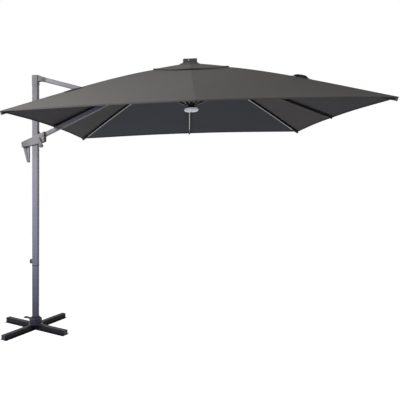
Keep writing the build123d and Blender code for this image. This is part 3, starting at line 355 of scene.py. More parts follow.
def moulded_plastic_group():
    """Injection-moulded plastic: spark-eroded grain, a little mottling and paler rubbed edges."""
    group, given, put = start_group(
        "moulded_plastic",
        [("Plastic", "c", None), ("Rubbed", "f", 0.25), ("Edge", "f", 0.001), ("Grain", "f", 1400.0),
         ("Rough", "f", 0.55)],
        [("Colour", "c"), ("Roughness", "f"), ("Normal", "v")],
    )
    place = object_place(group)
    edge, rounded = sharp_edges(group, given.outputs["Edge"], 0.88)
    share = maths(group, "MULTIPLY", edge, given.outputs["Rubbed"])
    mottle = ramp(group, noise(group, place, 35, 4), 0.3, 0.7, 0.9, 1.12)
    shade = blend_colour(group, 1, given.outputs["Plastic"], mottle, "MULTIPLY")
    connect(group, blend_colour(group, share, shade, (0.2, 0.2, 0.2, 1)), put.inputs["Colour"])
    handled = ramp(group, noise(group, place, 18, 3), 0.35, 0.7, -0.08, 0.08)
    connect(group, maths(group, "ADD", given.outputs["Rough"], handled), put.inputs["Roughness"])
    grain = noise(group, place, given.outputs["Grain"], 2)
    connect(group, bump(group, grain, 0.15, 0.0003, rounded), put.inputs["Normal"])
    return group


moulded_plastic = moulded_plastic_group()


def plastic(name, colour, rough=0.55, rubbed=0.25, edge=0.001):
    """Plastic of one colour."""
    material, tree = new_material(name)
    skin = tree.nodes.new("ShaderNodeGroup")
    skin.node_tree = moulded_plastic
    skin.inputs["Plastic"].default_value = (*colour, 1)
    for label, value in (("Rubbed", rubbed), ("Edge", edge), ("Grain", 1400.0), ("Rough", rough)):
        skin.inputs[label].default_value = value
    surface_shader(tree, skin.outputs["Colour"], skin.outputs["Roughness"], skin.outputs["Normal"])
    return material


end_cap_plastic = plastic("end_cap_plastic", (0.0105, 0.0095, 0.0135), rough=0.6, rubbed=0.04)
finish_node(end_cap_plastic, "leg_end_caps", "swivel_bush")

# The bolts are zinc-plated steel: bright metal with dull spots.
bolt_zinc, tree = new_material("bolt_zinc")
place = object_place(tree)
spots = ramp(tree, noise(tree, place, 90, 5), 0.35, 0.7)
metal = blend_colour(tree, spots, (0.4, 0.4, 0.4, 1), (0.24, 0.24, 0.24, 1))
scuffs = ramp(tree, noise(tree, place, 260, 3), 0.3, 0.7, 0.26, 0.48)
surface_shader(tree, metal, scuffs, bump(tree, noise(tree, place, 700, 2), 0.1, 0.0002), {"Metallic": 1})
finish_node(bolt_zinc, "base_bolts", "crown_bolts")

# ---- Foot pedal ----
# A treadle of moulded plastic, hung on a cross pin in a bracket at the swivel's side. The foot presses its
# ribbed pad down to free the mast.
pedal_plastic = plastic("pedal_plastic", (0.014, 0.014, 0.016), rough=0.5, rubbed=0.25)
finish_node(pedal_plastic, "foot_pedal")

# ---- Mast, its head and joint ----
# Two lengths of extruded aluminium tube over an inner sleeve, coated grey. A casting closes the top and
# holds the strut's pin. A bump on the inner face ends the slider's travel.


def drawn_tube(name, painted_shades, painted_shade_face=("X", 0.6, 0.9, 0.75)):
    """Coated extrusion with faint die lines along it. Its coat carries painted light and shade that change with
    height, between the painted shades given with their heights from the foot up. One face gets painted shade: it is
    given by its axis, by how far the surface has to look along that axis for the painted shade to start and to be
    full, and by how dark it gets."""
    material, tree = new_material(name)
    place = object_place(tree)
    drawn = tree.nodes.new("ShaderNodeMapping")
    drawn.inputs["Scale"].default_value = (1, 1, 0.012)
    connect(tree, place, drawn.inputs["Vector"])
    lines = ramp(tree, noise(tree, drawn.outputs[0], 160, 3), 0.3, 0.7, -0.02, 0.02)
    height = maths(tree, "ADD", split(tree, place)["Z"], lines)
    # The coat's tone by height is painted light and shade.
    paint = (*painted_shades[0][1], 1)
    for (low, _), (high, shade) in zip(painted_shades, painted_shades[1:]):
        paint = blend_colour(tree, ramp(tree, height, low, high), paint, (*shade, 1))
    # Painted shade: the given face is blended towards a near black.
    axis, start, full, most = painted_shade_face
    facing = split(tree, tree.nodes.new("ShaderNodeTexCoord").outputs["Normal"])[axis]
    paint = blend_colour(tree, ramp(tree, facing, start, full, 0.0, most), paint, (0.02, 0.02, 0.035, 1))
    coat(tree, paint, (0.34, 0.34, 0.35), wear=0.2, edge=0.001, rough=0.4, dust=0.05, pebble=1300.0)
    return material


# The upper mast is painted lighter along its middle and darker at its top as painted light and shade, with one
# painted shade face.
upper_mast_coat = drawn_tube(
    "upper_mast_coat",
    [
        (0.67, (0.18, 0.18, 0.275)), (1.1, (0.26, 0.26, 0.37)), (1.7, (0.29, 0.288, 0.355)),
        (2.5, (0.089, 0.086, 0.101)), (2.63, (0.073, 0.07, 0.084)),
    ],
)
# The lower mast is painted darker towards its foot as painted shade, with one painted shade face.
lower_mast_coat = drawn_tube("lower_mast_coat", [(0.15, (0.053, 0.053, 0.1)), (0.66, (0.168, 0.168, 0.262))])
finish_node(upper_mast_coat, "upper_mast")
finish_node(lower_mast_coat, "lower_mast")
head_coat = coated_metal(
    "head_casting_coat", (0.067, 0.065, 0.078), (0.3, 0.3, 0.31), wear=0.2, edge=0.003, rough=0.4, dust=0.05
)
finish_node(head_coat, "mast_head", "strut_eye")
stop_plastic = plastic("stop_plastic", (0.018, 0.018, 0.02), rough=0.45)
finish_node(stop_plastic, "slider_stop")
finish_node(base_coat, "mast_spindle", "joint_sleeve")


def rounded_ring(width, depth, corner, steps=6):
    """Points round a rectangle with round corners, about its middle."""
    points = []
    for turn, side in ((0, (1, 1)), (90, (-1, 1)), (180, (-1, -1)), (270, (1, -1))):
        middle = (side[0] * (width / 2 - corner), side[1] * (depth / 2 - corner))
        for step in range(steps + 1):
            angle = math.radians(turn + 90 * step / steps)
            points.append((middle[0] + corner * math.cos(angle), middle[1] + corner * math.sin(angle)))
    return points


def stack_rings(name, rings, close_ends=True):
    """A body through rings of points that all have the same count, with flat ends unless it is left open."""
    count = len(rings[0])
    points = [point for ring in rings for point in ring]
    faces = []
    for level in range(len(rings) - 1):
        low = level * count
        for step in range(count):
            following = (step + 1) % count
            faces.append((low + step, low + following, low + count + following, low + count + step))
    if close_ends:
        faces.append(tuple(reversed(range(count))))
        faces.append(tuple((len(rings) - 1) * count + step for step in range(count)))
    return plain_mesh(name, points, faces)


def mast_ring(z, grow):
    """The mast's outline, grown all round, at a height."""
    return [(x, y, z) for x, y in rounded_ring(0.066 + 2 * grow, 0.056 + 2 * grow, 0.010 + grow)]


# The joint shows as a thin plastic gasket between the two tubes.
joint_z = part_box("upper_mast")[0][2]
gasket = stack_rings(
    "joint_gasket",
    [mast_ring(joint_z - 0.0035, 0.0002), mast_ring(joint_z - 0.003, 0.0012), mast_ring(joint_z + 0.003, 0.0012),
     mast_ring(joint_z + 0.0035, 0.0002)],
)
gasket_rubber = plastic("gasket_rubber", (0.012, 0.012, 0.013), rough=0.7, rubbed=0.0)
gasket.data.materials.append(gasket_rubber)
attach(gasket, "mast")

# ---- Clamp knob ----
# A lobed knob of black plastic, moulded on a threaded stud. It is screwed through the upper tube's wall and
# pinches the two lengths of mast together.
knob_plastic = plastic("knob_plastic", (0.016, 0.016, 0.017), rough=0.42, rubbed=0.35)
finish_node(knob_plastic, "clamp_knob")

# ---- Strut and boom ----
# Rounded rectangular aluminium tubes, coated like the mast, with cast ends plugged into them. The boom's coat
# carries painted light where the canopy shades it, and painted shade at its low end and on its underside.
strut_coat = coated_metal(
    "strut_coat", (0.2, 0.195, 0.22), (0.4, 0.4, 0.41), wear=0.2, edge=0.001, rough=0.38, dust=0.1, pebble=1300.0
)
# Painted light under the canopy, and painted shade at the low end and on the underside.
boom_coat = drawn_tube(
    "boom_coat",
    [(2.135, (0.2, 0.195, 0.215)), (2.18, (0.66, 0.65, 0.72)), (2.26, (0.5, 0.52, 0.67)), (2.4, (0.3, 0.32, 0.44))],
    painted_shade_face=("Z", -0.4, -0.85, 0.8),
)
finish_node(strut_coat, "strut_tube")
finish_node(boom_coat, "boom_tube")
cast_coat = coated_metal(
    "casting_coat", (0.024, 0.025, 0.028), (0.2, 0.2, 0.2), wear=0.35, edge=0.0025, rough=0.42, dust=0.12
)
finish_node(cast_coat, "strut_fork", "boom_root", "boom_end_fitting", "crown_hub", "strut_pin")

# ---- Slider, grip, lever and crank ----
# A two-part housing runs on the mast and holds the boom's lower end. Its grip and squeeze lever hang at
# the back, and the winding crank is on its near side.
housing_coat, tree = new_material("housing_coat")
back, front = (corner[0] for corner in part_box("slider_housing"))
# The casting is painted darker towards its back end as painted shade.
painted_light_share = ramp(tree, split(tree, object_place(tree))["X"], back, back + 0.4 * (front - back))
paint = blend_colour(tree, painted_light_share, (0.1, 0.097, 0.112, 1), (0.22, 0.21, 0.24, 1))
coat(tree, paint, (0.4, 0.4, 0.42), wear=0.25, edge=0.004, rough=0.42, dust=0.05)
finish_node(housing_coat, "slider_housing")
grip_plastic = plastic("grip_plastic", (0.26, 0.255, 0.28), rough=0.5, rubbed=0.2)
lever_plastic = plastic("lever_plastic", (0.18, 0.177, 0.195), rough=0.45, rubbed=0.3)
finish_node(grip_plastic, "grip_bar")
finish_node(lever_plastic, "release_lever", "slider_liners")
crank_coat = coated_metal(
    "crank_coat", (0.2, 0.195, 0.215), (0.4, 0.4, 0.41), wear=0.4, edge=0.002, rough=0.38, dust=0.05
)
finish_node(crank_coat, "crank_arm")
crank_knob_plastic = plastic("crank_knob_plastic", (0.11, 0.11, 0.12), rough=0.45, rubbed=0.3)
finish_node(crank_knob_plastic, "crank_knob")

# ---- Solar box ----
# A box of moulded plastic, fixed on the crown over the canopy, holds the lamps' battery. Its top is a pane
# of blue-black cells under a clear cover, with silver fingers and bus bars.
box_plastic = plastic("box_plastic", (0.036, 0.034, 0.037), rough=0.42, rubbed=0.4, edge=0.003)
finish_node(box_plastic, "solar_box")


def fine_lines(tree, value, pitch, width):
    """A mask of thin lines that repeat along one axis."""
    wave = maths(tree, "PINGPONG", value, pitch / 2)
    return ramp(tree, wave, width / 2, width / 2 + 0.0002, 1.0, 0.0)


solar_cells, tree = new_material("solar_cells")
place = object_place(tree)
parts = split(tree, place)
fingers = maths(tree, "MULTIPLY", fine_lines(tree, parts["X"], 0.0035, 0.0004), 0.5)
silver = maths(tree, "MAXIMUM", fingers, fine_lines(tree, parts["Y"], 0.034, 0.0016))
crystal = tree.nodes.new("ShaderNodeTexVoronoi")
crystal.inputs["Scale"].default_value = 110
connect(tree, place, crystal.inputs["Vector"])
flakes = ramp(tree, crystal.outputs["Distance"], 0.0, 1.0)
cell = blend_colour(tree, flakes, (0.008, 0.012, 0.035, 1), (0.02, 0.03, 0.07, 1))
cell = blend_colour(tree, silver, cell, (0.3, 0.3, 0.32, 1))
clear_cover = {"Coat Weight": 1, "Coat Roughness": 0.05}
surface_shader(tree, cell, ramp(tree, silver, 0, 1, 0.3, 0.45), plain=clear_cover)
finish_node(solar_cells, "solar_panel")

# The charge light is a small domed lens let into the box's near face.
box_low, box_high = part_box("solar_box")
light_x = 1.6445
light_z = box_high[2] - 0.019
lens_rings = []
for out, radius in ((-0.0008, 0.0068), (0.0006, 0.0068), (0.0014, 0.0062), (0.0021, 0.0045), (0.0025, 0.002)):
    ring = []
    for angle in (math.radians(18 * step) for step in range(20)):
        ring.append((light_x + radius * math.cos(angle), box_low[1] - out, light_z + radius * math.sin(angle)))
    lens_rings.append(ring)
charge_light = stack_rings("charge_light", lens_rings)
charge_lens = plastic("charge_lens", (0.62, 0.62, 0.64), rough=0.25, rubbed=0.0)
charge_light.data.materials.append(charge_lens)
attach(charge_light, "boom")

# ---- Ribs, stretchers and runner ----
# Eight coated aluminium ribs hinge at the crown. Riveted strap stretchers link them to a runner below, so
# that they all fold together.
rib_coat = coated_metal(
    "rib_black_coat", (0.0105, 0.0105, 0.0135), (0.1, 0.1, 0.1), wear=0.2, edge=0.001, rough=0.4, dust=0.03
)
SIDES = (
    ("outer", 0), ("outer_far", 45), ("far", 90), ("mast_far", 135),
    ("mast", 180), ("mast_near", 225), ("near", 270), ("outer_near", 315),
)
for side, turn in SIDES:
    finish_node(rib_coat, "rib_" + side, "stretcher_" + side)
finish_node(rib_coat, "runner_hub")

# ---- Light strips ----
# A row of small lamps runs under six of the ribs behind a milky extruded cover, from past the stretcher's
# clip nearly to the rib's end. The cover is pressed into the rib's underside.

# The canopy's own frame has its middle at the crown, X towards the outer side and a slight tilt. HALF is half
# the canopy's side, and the hinges stand HINGE_RADIUS out from the middle.
CANOPY = Matrix.Translation((1.660, 0.040, 2.790)) @ Matrix.Rotation(math.radians(-1.75), 4, "Y")
HALF = 1.5
HINGE_RADIUS = 0.048


def rib_shape(corner):
    """Reach, drop and bow of a rib, from its hinge to the cloth's edge."""
    reach = HALF * math.sqrt(2) - HINGE_RADIUS if corner else HALF - HINGE_RADIUS
    return (reach, 0.617, 0.045) if corner else (reach, 0.585, 0.017)


def rib_bow(corner, along):
    """How far a rib's middle line stands above its chord. It bends most near its stretcher."""
    reach, drop, most = rib_shape(corner)
    share = along / math.hypot(reach, drop)
    return 4 * most * share * (1 - share) * (1 + 0.45 * (1 - 2 * share))


def rib_place(turn, along, beside, above):
    """A point beside a rib's bowed middle line, given in the rib's own directions."""
    corner = turn % 90 == 45
    reach, drop, _ = rib_shape(corner)
    way = CANOPY @ Matrix.Rotation(math.radians(turn), 4, "Z") @ Matrix.Translation((HINGE_RADIUS, 0, 0))
    way = way @ Matrix.Rotation(math.atan2(drop, reach), 4, "Y")
    return way @ Vector((along, beside, above + rib_bow(corner, along)))


# The frosted cover shows paler spots where the lamps sit behind it.
strip_frost, tree = new_material("strip_frost")
along_strip = tree.nodes.new("ShaderNodeUVMap")
along_strip.uv_map = "along"
wave = maths(tree, "PINGPONG", split(tree, along_strip.outputs[0])["X"], 0.0165)
lamp_here = ramp(tree, wave, 0.003, 0.008, 1.0, 0.0)
frost = noise(tree, along_strip.outputs[0], 60, 3)
milk = blend_colour(tree, ramp(tree, frost, 0.3, 0.7), (0.5, 0.51, 0.54, 1), (0.6, 0.61, 0.64, 1))
milk = blend_colour(tree, lamp_here, milk, (0.72, 0.71, 0.66, 1))
# The cover's faint glow is painted light, and it is brightest over the lamps.
glow = {"Coat Weight": 0.3, "Emission Strength": 0.3}
shader = surface_shader(tree, milk, ramp(tree, frost, 0.3, 0.7, 0.35, 0.5), plain=glow)
connect(tree, milk, shader.inputs["Emission Color"])

# The cover's section, as distances beside the rib's middle line and above it. It is open at the rib.
STRIP_TOP = -0.0136
strip_section = ((-0.0053, STRIP_TOP), (-0.0053, -0.0158), (-0.0042, -0.0172), (-0.0018, -0.0179),
                 (0.0018, -0.0179), (0.0042, -0.0172), (0.0053, -0.0158), (0.0053, STRIP_TOP))
for side, turn in SIDES:
    if turn in (0, 180):
        continue
    corner = turn % 90 == 45
    reach, drop, _ = rib_shape(corner)
    stretcher_clip = 0.5054 if corner else 0.525
    start = stretcher_clip + 0.0395
    stop = math.hypot(reach, drop) - 0.150
    between = [start + (stop - start) * step / 24 for step in range(1, 24)]
    stations = [start, start + 0.001, *between, stop - 0.001, stop]
    rings = []
    for along in stations:
        taper = 0.75 if along in (start, stop) else 1.0
        rings.append(
            [rib_place(turn, along, y * taper, STRIP_TOP + (z - STRIP_TOP) * taper) for y, z in strip_section]
        )
    strip = stack_rings("light_strip_" + side, rings)
    along_map = strip.data.uv_layers.new(name="along")
    for loop in strip.data.loops:
        station = stations[loop.vertex_index // len(strip_section)]
        along_map.data[loop.index].uv = (station, strip_section[loop.vertex_index % len(strip_section)][0])
    strip.data.materials.append(strip_frost)
    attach(strip, "rib_" + side)

# ---- Lamp ----
# A shallow dish of moulded plastic under the runner, with a push button at its middle. Its lens is milky
# acrylic, and a faint painted glow stands in for the daylight that it lets through.
lamp_plastic = plastic("lamp_plastic", (0.01, 0.011, 0.016), rough=0.45)
finish_node(lamp_plastic, "lamp_body", "lamp_button")
milky_lens, tree = new_material("milky_lens")
place = object_place(tree)
tone = ramp(tree, noise(tree, place, 25, 3), 0.3, 0.7)
milk = blend_colour(tree, tone, (0.62, 0.64, 0.76, 1), (0.7, 0.72, 0.83, 1))
frosting = ramp(tree, noise(tree, place, 300, 2), 0.3, 0.7, 0.42, 0.55)
# The lens's glow is painted light.
glow = {"Coat Weight": 0.4, "Coat Roughness": 0.2, "Emission Strength": 0.4}
shader = surface_shader(tree, milk, frosting, plain=glow)
connect(tree, milk, shader.inputs["Emission Color"])
finish_node(milky_lens, "lamp_diffuser")

# ---- Canopy ----
# Eight gores of woven polyester are sewn into one cloth and stretched over the ribs, with a folded hem. Each
# piece here is the cloth that one rib carries, cut where it meets its neighbours halfway between two ribs,
# so that it moves with its rib when the ribs fold. One surface function shapes them all, so the cloth runs on.

# Distances out from the middle, and the sizes of the hem, the seams and half a rib's depth. HALFWAY is where
# a cut lies, as a share of the way from a middle rib to a corner rib.
HALFWAY = math.tan(math.radians(22.5))
RIB_HALF = 0.014
VENT = 0.230
HEM_IN = 0.008
HEM_BAND = 0.026
HEM_HANG = 0.010
SEAM_HALF = 0.009
CAP_NECK = 0.075
CAP_EDGE = 0.375
# The slot through the cloth, from the mast's side to this far from the middle, and between these two lines.
SLOT_END = -0.95
SLOT_NEAR = -0.072
SLOT_FAR = -0.010


def over_rib(corner, out):
    """Height of the cloth over a rib, at a distance out from the canopy's middle."""
    reach, drop, _ = rib_shape(corner)
    slope = math.atan2(drop, reach)
    along = out * (math.sqrt(2) if corner else 1) - HINGE_RADIUS
    lift = 0.0022 if corner else 0.0012
    return -along * math.tan(slope) + (rib_bow(corner, along / math.cos(slope)) + RIB_HALF) / math.cos(slope) + lift


def cloth_height(out, across):
    """Height of the cloth, where across runs from 0 on a middle rib to 1 on a corner rib."""
    share = out / HALF
    slack = 4 * across * (1 - across)
    level = over_rib(False, out) * (1 - across) + over_rib(True, out) * across
    return level + slack * (HEM_IN * share**4 - 0.007 * 4 * share * (1 - share))


def cloth_point(quarter, out, across):
    """A point of the cloth. Past the edge the hem turns down. Across is signed, from corner to corner."""
    edge = min(out, HALF)
    past = out - edge
    side = abs(across)
    slack = 4 * side * (1 - side)
    inward = HEM_IN * (edge / HALF) ** 4 * slack
    hang = past * (0.35 + 0.65 * (1 - side**6))
    fold = 0.0009 * min(max((edge - HALF + HEM_BAND) / 0.0015, 0.0), 1.0)
    seam = 0.0008 if min(side, 1 - side) * edge < SEAM_HALF * 0.7 else 0.0
    height = cloth_height(edge, side) + max(fold, seam) - hang
    out_here = edge - inward + 0.12 * past
    point = Vector((out_here, across * out_here, height))
    return Matrix.Rotation(math.radians(quarter), 3, "Z") @ point


def cap_point(quarter, out, across):
    """A point of the small cap over the vent, which rises in a hollow curve to the solar box."""
    edge = min(out, CAP_EDGE)
    past = out - edge
    share = (edge - CAP_NECK) / (CAP_EDGE - CAP_NECK)
    side = abs(across)
    hollow = 10 * max(share, 0.0) * math.exp(1 - 10 * share)
    fall = 0.0485 - 0.127 * max(share, 0.0) ** 0.85 - 0.0105 * hollow
    dip = 4 * side * (1 - side) * 0.005 * share
    seam = 0.0007 if min(side, 1 - side) * edge < SEAM_HALF * 0.6 else 0.0
    lifted = 0.006 * max(0.0, share - 0.85) / 0.15 * side**8
    out_here = edge + 0.1 * past
    height = fall - dip + seam + lifted - past * (1 - side**6)
    return Matrix.Rotation(math.radians(quarter), 3, "Z") @ Vector((out_here, across * out_here, height))


def sector_columns(turn, out, count):
    """One row's stations across a rib's piece of cloth, as pairs of quarter and across. They lie closer
    together at the seam over the rib."""
    half = count // 2
    stations = []
    for step in range(-half, half + 1):
        seam = min(SEAM_HALF / max(out, 0.05), 0.1)
        near_rib = {0: 0.0, 1: seam * 0.6, 2: seam * 1.2}
        width = HALFWAY if turn % 90 == 0 else 1 - HALFWAY
        place = near_rib.get(abs(step), seam * 1.2 + (width - seam * 1.2) * (abs(step) - 2) / (half - 2))
        if turn % 90 == 0:
            stations.append((turn, math.copysign(place, step) if step else 0.0))
        elif step < 0:
            stations.append((turn - 45, 1 - place))
        else:
            stations.append((turn + 45, -1 + place))
    return stations


def gore_number(turn, side):
    """Which of the eight sewn gores lies on one side of a rib."""
    order = turn // 45
    return order if side > 0 else (order - 1) % 8


# Painted light and shade, gore by gore, on both faces: on top some gores are painted darker as shade, and
# underneath some are painted lighter and others darker.
TOP_PAINTED_SHADING = (
    (0.84, 0.81, 0.8), (0.94, 0.92, 0.91), (1.0, 0.98, 0.97), (1.0, 0.98, 0.97),
    (1.0, 0.98, 0.98), (0.98, 0.955, 0.945), (0.8, 0.765, 0.74), (0.8, 0.78, 0.78),
)
UNDER_PAINTED_SHADING = (
    (1.4, 1.34, 1.28), (1.5, 1.6, 1.66), (1.4, 1.5, 1.62), (1.3, 1.32, 1.2),
    (0.86, 0.82, 0.82), (0.95, 0.95, 0.97), (0.95, 0.95, 0.97), (0.95, 0.95, 0.95),
)


def sector_mesh(name, turn, surface, outs, count):
    """A sheet over one rib's sector. It carries cloth coordinates in metres, the way that the surface faces at
    each point, the distance in from the hem, and the painted light and shade of its gore."""
    rows = [sector_columns(turn, out, count) for out in outs]
    width = len(rows[0])
    points = []
    ways = []
    for out, row in zip(outs, rows):
        for quarter, across in row:
            points.append(CANOPY @ surface(quarter, out, across))
            step = 0.02 if turn % 90 == 0 and abs(across) < 0.05 else 0.004
            side_a = surface(quarter, out, min(across + step, 1.0))
            side_b = surface(quarter, out, max(across - step, -1.0))
            if out > outs[-1] - 0.012:
                along = surface(quarter, out, across) - surface(quarter, out - 0.006, across)
            else:
                along = surface(quarter, out + 0.01, across) - surface(quarter, out - 0.01, across)
            ways.append((CANOPY.to_3x3() @ along.cross(side_a - side_b)).normalized())
    faces = []
    for row in range(len(outs) - 1):
        for column in range(width - 1):
            low = row * width + column
            faces.append((low, low + width, low + width + 1, low + 1))
    piece = plain_mesh(name, points, faces)
    mesh = piece.data
    away = CANOPY.inverted()
    rib_way = Matrix.Rotation(math.radians(-turn), 3, "Z")
    cloth = mesh.uv_layers.new(name="cloth")
    for loop in mesh.loops:
        flat = rib_way @ (away @ mesh.vertices[loop.vertex_index].co)
        cloth.data[loop.index].uv = (flat.y, flat.x)
    way = mesh.attributes.new("way", "FLOAT_VECTOR", "POINT")
    for index, facing in enumerate(ways):
        way.data[index].vector = facing
    edge = HALF if surface is cloth_point else CAP_EDGE
    inset = mesh.attributes.new("inset", "FLOAT", "POINT")
    for index in range(len(points)):
        inset.data[index].value = edge - outs[index // width]
    for label, painted_shading in (("top_painted_shading", TOP_PAINTED_SHADING), ("under_painted_shading", UNDER_PAINTED_SHADING)):
        tone = mesh.attributes.new(label, "FLOAT_COLOR", "FACE")
        for index in range(len(mesh.polygons)):
            side = 1 if index % (width - 1) >= (width - 1) / 2 else -1
            tone.data[index].color = (*painted_shading[gore_number(turn, side)], 1)
    return piece


def cut_slot(piece):
    """Opens the slot beside the mast's rib, where the boom and the strut come through."""
    sheet = bmesh.new()
    sheet.from_mesh(piece.data)
    way = CANOPY.to_3x3()
    for through, facing in (
        ((0, SLOT_NEAR, 0), (0, 1, 0)), ((0, SLOT_FAR, 0), (0, 1, 0)), ((SLOT_END, 0, 0), (1, 0, 0)),
    ):
        geometry = sheet.verts[:] + sheet.edges[:] + sheet.faces[:]
        bmesh.ops.bisect_plane(
            sheet, geom=geometry, plane_co=CANOPY @ Vector(through), plane_no=way @ Vector(facing), dist=1e-6
        )
    back = CANOPY.inverted()
    gone = []
    for face in sheet.faces:
        middle = back @ face.calc_center_median()
        if SLOT_END < middle.x < 0 and SLOT_NEAR < middle.y < SLOT_FAR:
            gone.append(face)
    bmesh.ops.delete(sheet, geom=gone, context="FACES")
    sheet.to_mesh(piece.data)
    sheet.free()


def two_faced(piece, thickness):
    """Gives a sheet its thickness, with the coated underside as its second material and smooth shading that
    runs on into the neighbouring pieces."""
    skin = piece.modifiers.new("thickness", "SOLIDIFY")
    skin.thickness = thickness
    skin.offset = 1
    skin.material_offset = 1
    skin.material_offset_rim = 0
    bpy.context.view_layer.update()
    solid = bpy.data.meshes.new_from_object(piece.evaluated_get(bpy.context.evaluated_depsgraph_get()))
    piece.modifiers.clear()
    piece.data = solid
    ways = solid.attributes["way"].data
    normals = [None] * len(solid.loops)
    for face in solid.polygons:
        for index in face.loop_indices:
            way = Vector(ways[solid.loops[index].vertex_index].vector).normalized()
            facing = way.dot(face.normal)
            normals[index] = way if facing > 0.5 else -way if facing < -0.5 else face.normal.copy()
    solid.normals_split_custom_set(normals)


def woven_group():
    """Plain-woven polyester from cloth coordinates in metres: crossed yarns, slubs, soft clouds, two rows of
    stitches beside the rib's seam and two along the hem, and a faintly darker band where the hem is double."""
    group, given, put = start_group(
        "woven_cloth",
        [("Cloth", "v", None), ("Inset", "f", 1.0), ("Yarn", "c", None), ("Painted shading", "c", None),
         ("Pitch", "f", 0.0011), ("Stitches", "f", 1.0)],
        [("Colour", "c"), ("Roughness", "f"), ("Height", "f")],
    )
    parts = split(group, given.outputs["Cloth"])
    turns = maths(group, "DIVIDE", math.pi, given.outputs["Pitch"])
    warp = maths(group, "SINE", maths(group, "MULTIPLY", parts["X"], turns))
    weft = maths(group, "SINE", maths(group, "MULTIPLY", parts["Y"], turns))
    crossing = maths(group, "MULTIPLY", warp, weft)
    slubs = None
    for scale in ((900, 22, 1), (22, 900, 1)):
        stretched = group.nodes.new("ShaderNodeMapping")
        stretched.inputs["Scale"].default_value = scale
        connect(group, given.outputs["Cloth"], stretched.inputs["Vector"])
        slub = noise(group, stretched.outputs[0], 1.0, 2)
        slubs = slub if slubs is None else maths(group, "ADD", slubs, slub)
    slubs = ramp(group, slubs, 0.75, 1.25, 0.94, 1.06)
    cloudy = ramp(group, noise(group, given.outputs["Cloth"], 1.7, 3), 0.3, 0.7, 0.96, 1.04)
    speck = ramp(group, crossing, -1, 1, 0.95, 1.05)
    seam_side = maths(group, "ABSOLUTE", parts["X"])
    rows = None
    for distance, source, along in (
        (0.0035, seam_side, "Y"), (0.0075, seam_side, "Y"),
        (0.004, given.outputs["Inset"], "X"), (0.023, given.outputs["Inset"], "X"),
    ):
        off = maths(group, "ABSOLUTE", maths(group, "SUBTRACT", source, distance))
        line = ramp(group, off, 0.0004, 0.0009, 1, 0)
        dash = maths(group, "PINGPONG", parts[along], 0.0022)
        stitch = maths(group, "MULTIPLY", line, ramp(group, dash, 0.0006, 0.0009))
        rows = stitch if rows is None else maths(group, "MAXIMUM", rows, stitch)
    rows = maths(group, "MULTIPLY", rows, given.outputs["Stitches"])
    folded = maths(group, "LESS_THAN", given.outputs["Inset"], 0.026)
    band = ramp(group, maths(group, "MULTIPLY", folded, given.outputs["Stitches"]), 0, 1, 1.0, 0.93)
    clouds = maths(group, "MULTIPLY", slubs, cloudy)
    factor = maths(group, "MULTIPLY", clouds, maths(group, "MULTIPLY", speck, band))
    factor = maths(group, "MULTIPLY", factor, ramp(group, rows, 0, 1, 1.0, 0.62))
    # The yarn's colour is multiplied by the painted shading of its gore.
    tinted = blend_colour(group, 1, given.outputs["Yarn"], given.outputs["Painted shading"], "MULTIPLY")
    connect(group, blend_colour(group, 1, tinted, factor, "MULTIPLY"), put.inputs["Colour"])
    connect(group, ramp(group, crossing, -1, 1, 0.86, 0.74), put.inputs["Roughness"])
    raised = maths(group, "MULTIPLY", maths(group, "ADD", crossing, slubs), 0.4)
    connect(group, maths(group, "SUBTRACT", raised, rows), put.inputs["Height"])
    return group


woven_cloth = woven_group()


def polyester(name, yarn, painted_shading_name, sheen, gloss, stitches=1.0):
    """Cloth of one yarn. The painted shading's name is that of the mesh's own colours, which paint light and shade
    into it gore by gore.
    """
    material, tree = new_material(name)
    cloth = tree.nodes.new("ShaderNodeUVMap")
    cloth.uv_map = "cloth"
    weave = tree.nodes.new("ShaderNodeGroup")
    weave.node_tree = woven_cloth
    weave.inputs["Yarn"].default_value = (*yarn, 1)
    weave.inputs["Painted shading"].default_value = (1, 1, 1, 1)
    weave.inputs["Stitches"].default_value = stitches
    connect(tree, cloth.outputs[0], weave.inputs["Cloth"])
    if painted_shading_name:
        tone = tree.nodes.new("ShaderNodeAttribute")
        tone.attribute_name = painted_shading_name
        connect(tree, tone.outputs["Color"], weave.inputs["Painted shading"])
        inset = tree.nodes.new("ShaderNodeAttribute")
        inset.attribute_name = "inset"
        connect(tree, inset.outputs["Fac"], weave.inputs["Inset"])
    yarns = bump(tree, weave.outputs["Height"], 0.3, 0.00025)
    surface_shader(
        tree, weave.outputs["Colour"], weave.outputs["Roughness"], yarns,
        {"Sheen Weight": sheen, "Sheen Roughness": 0.5, "Specular IOR Level": gloss},
    )
    return material


canopy_top = polyester("canopy_top_cloth", (0.1375, 0.136, 0.1345), "top_painted_shading", sheen=0.04, gloss=0.06)
canopy_under = polyester("canopy_coated_underside", (0.125, 0.122, 0.13), "under_painted_shading", sheen=0.02, gloss=0.15)

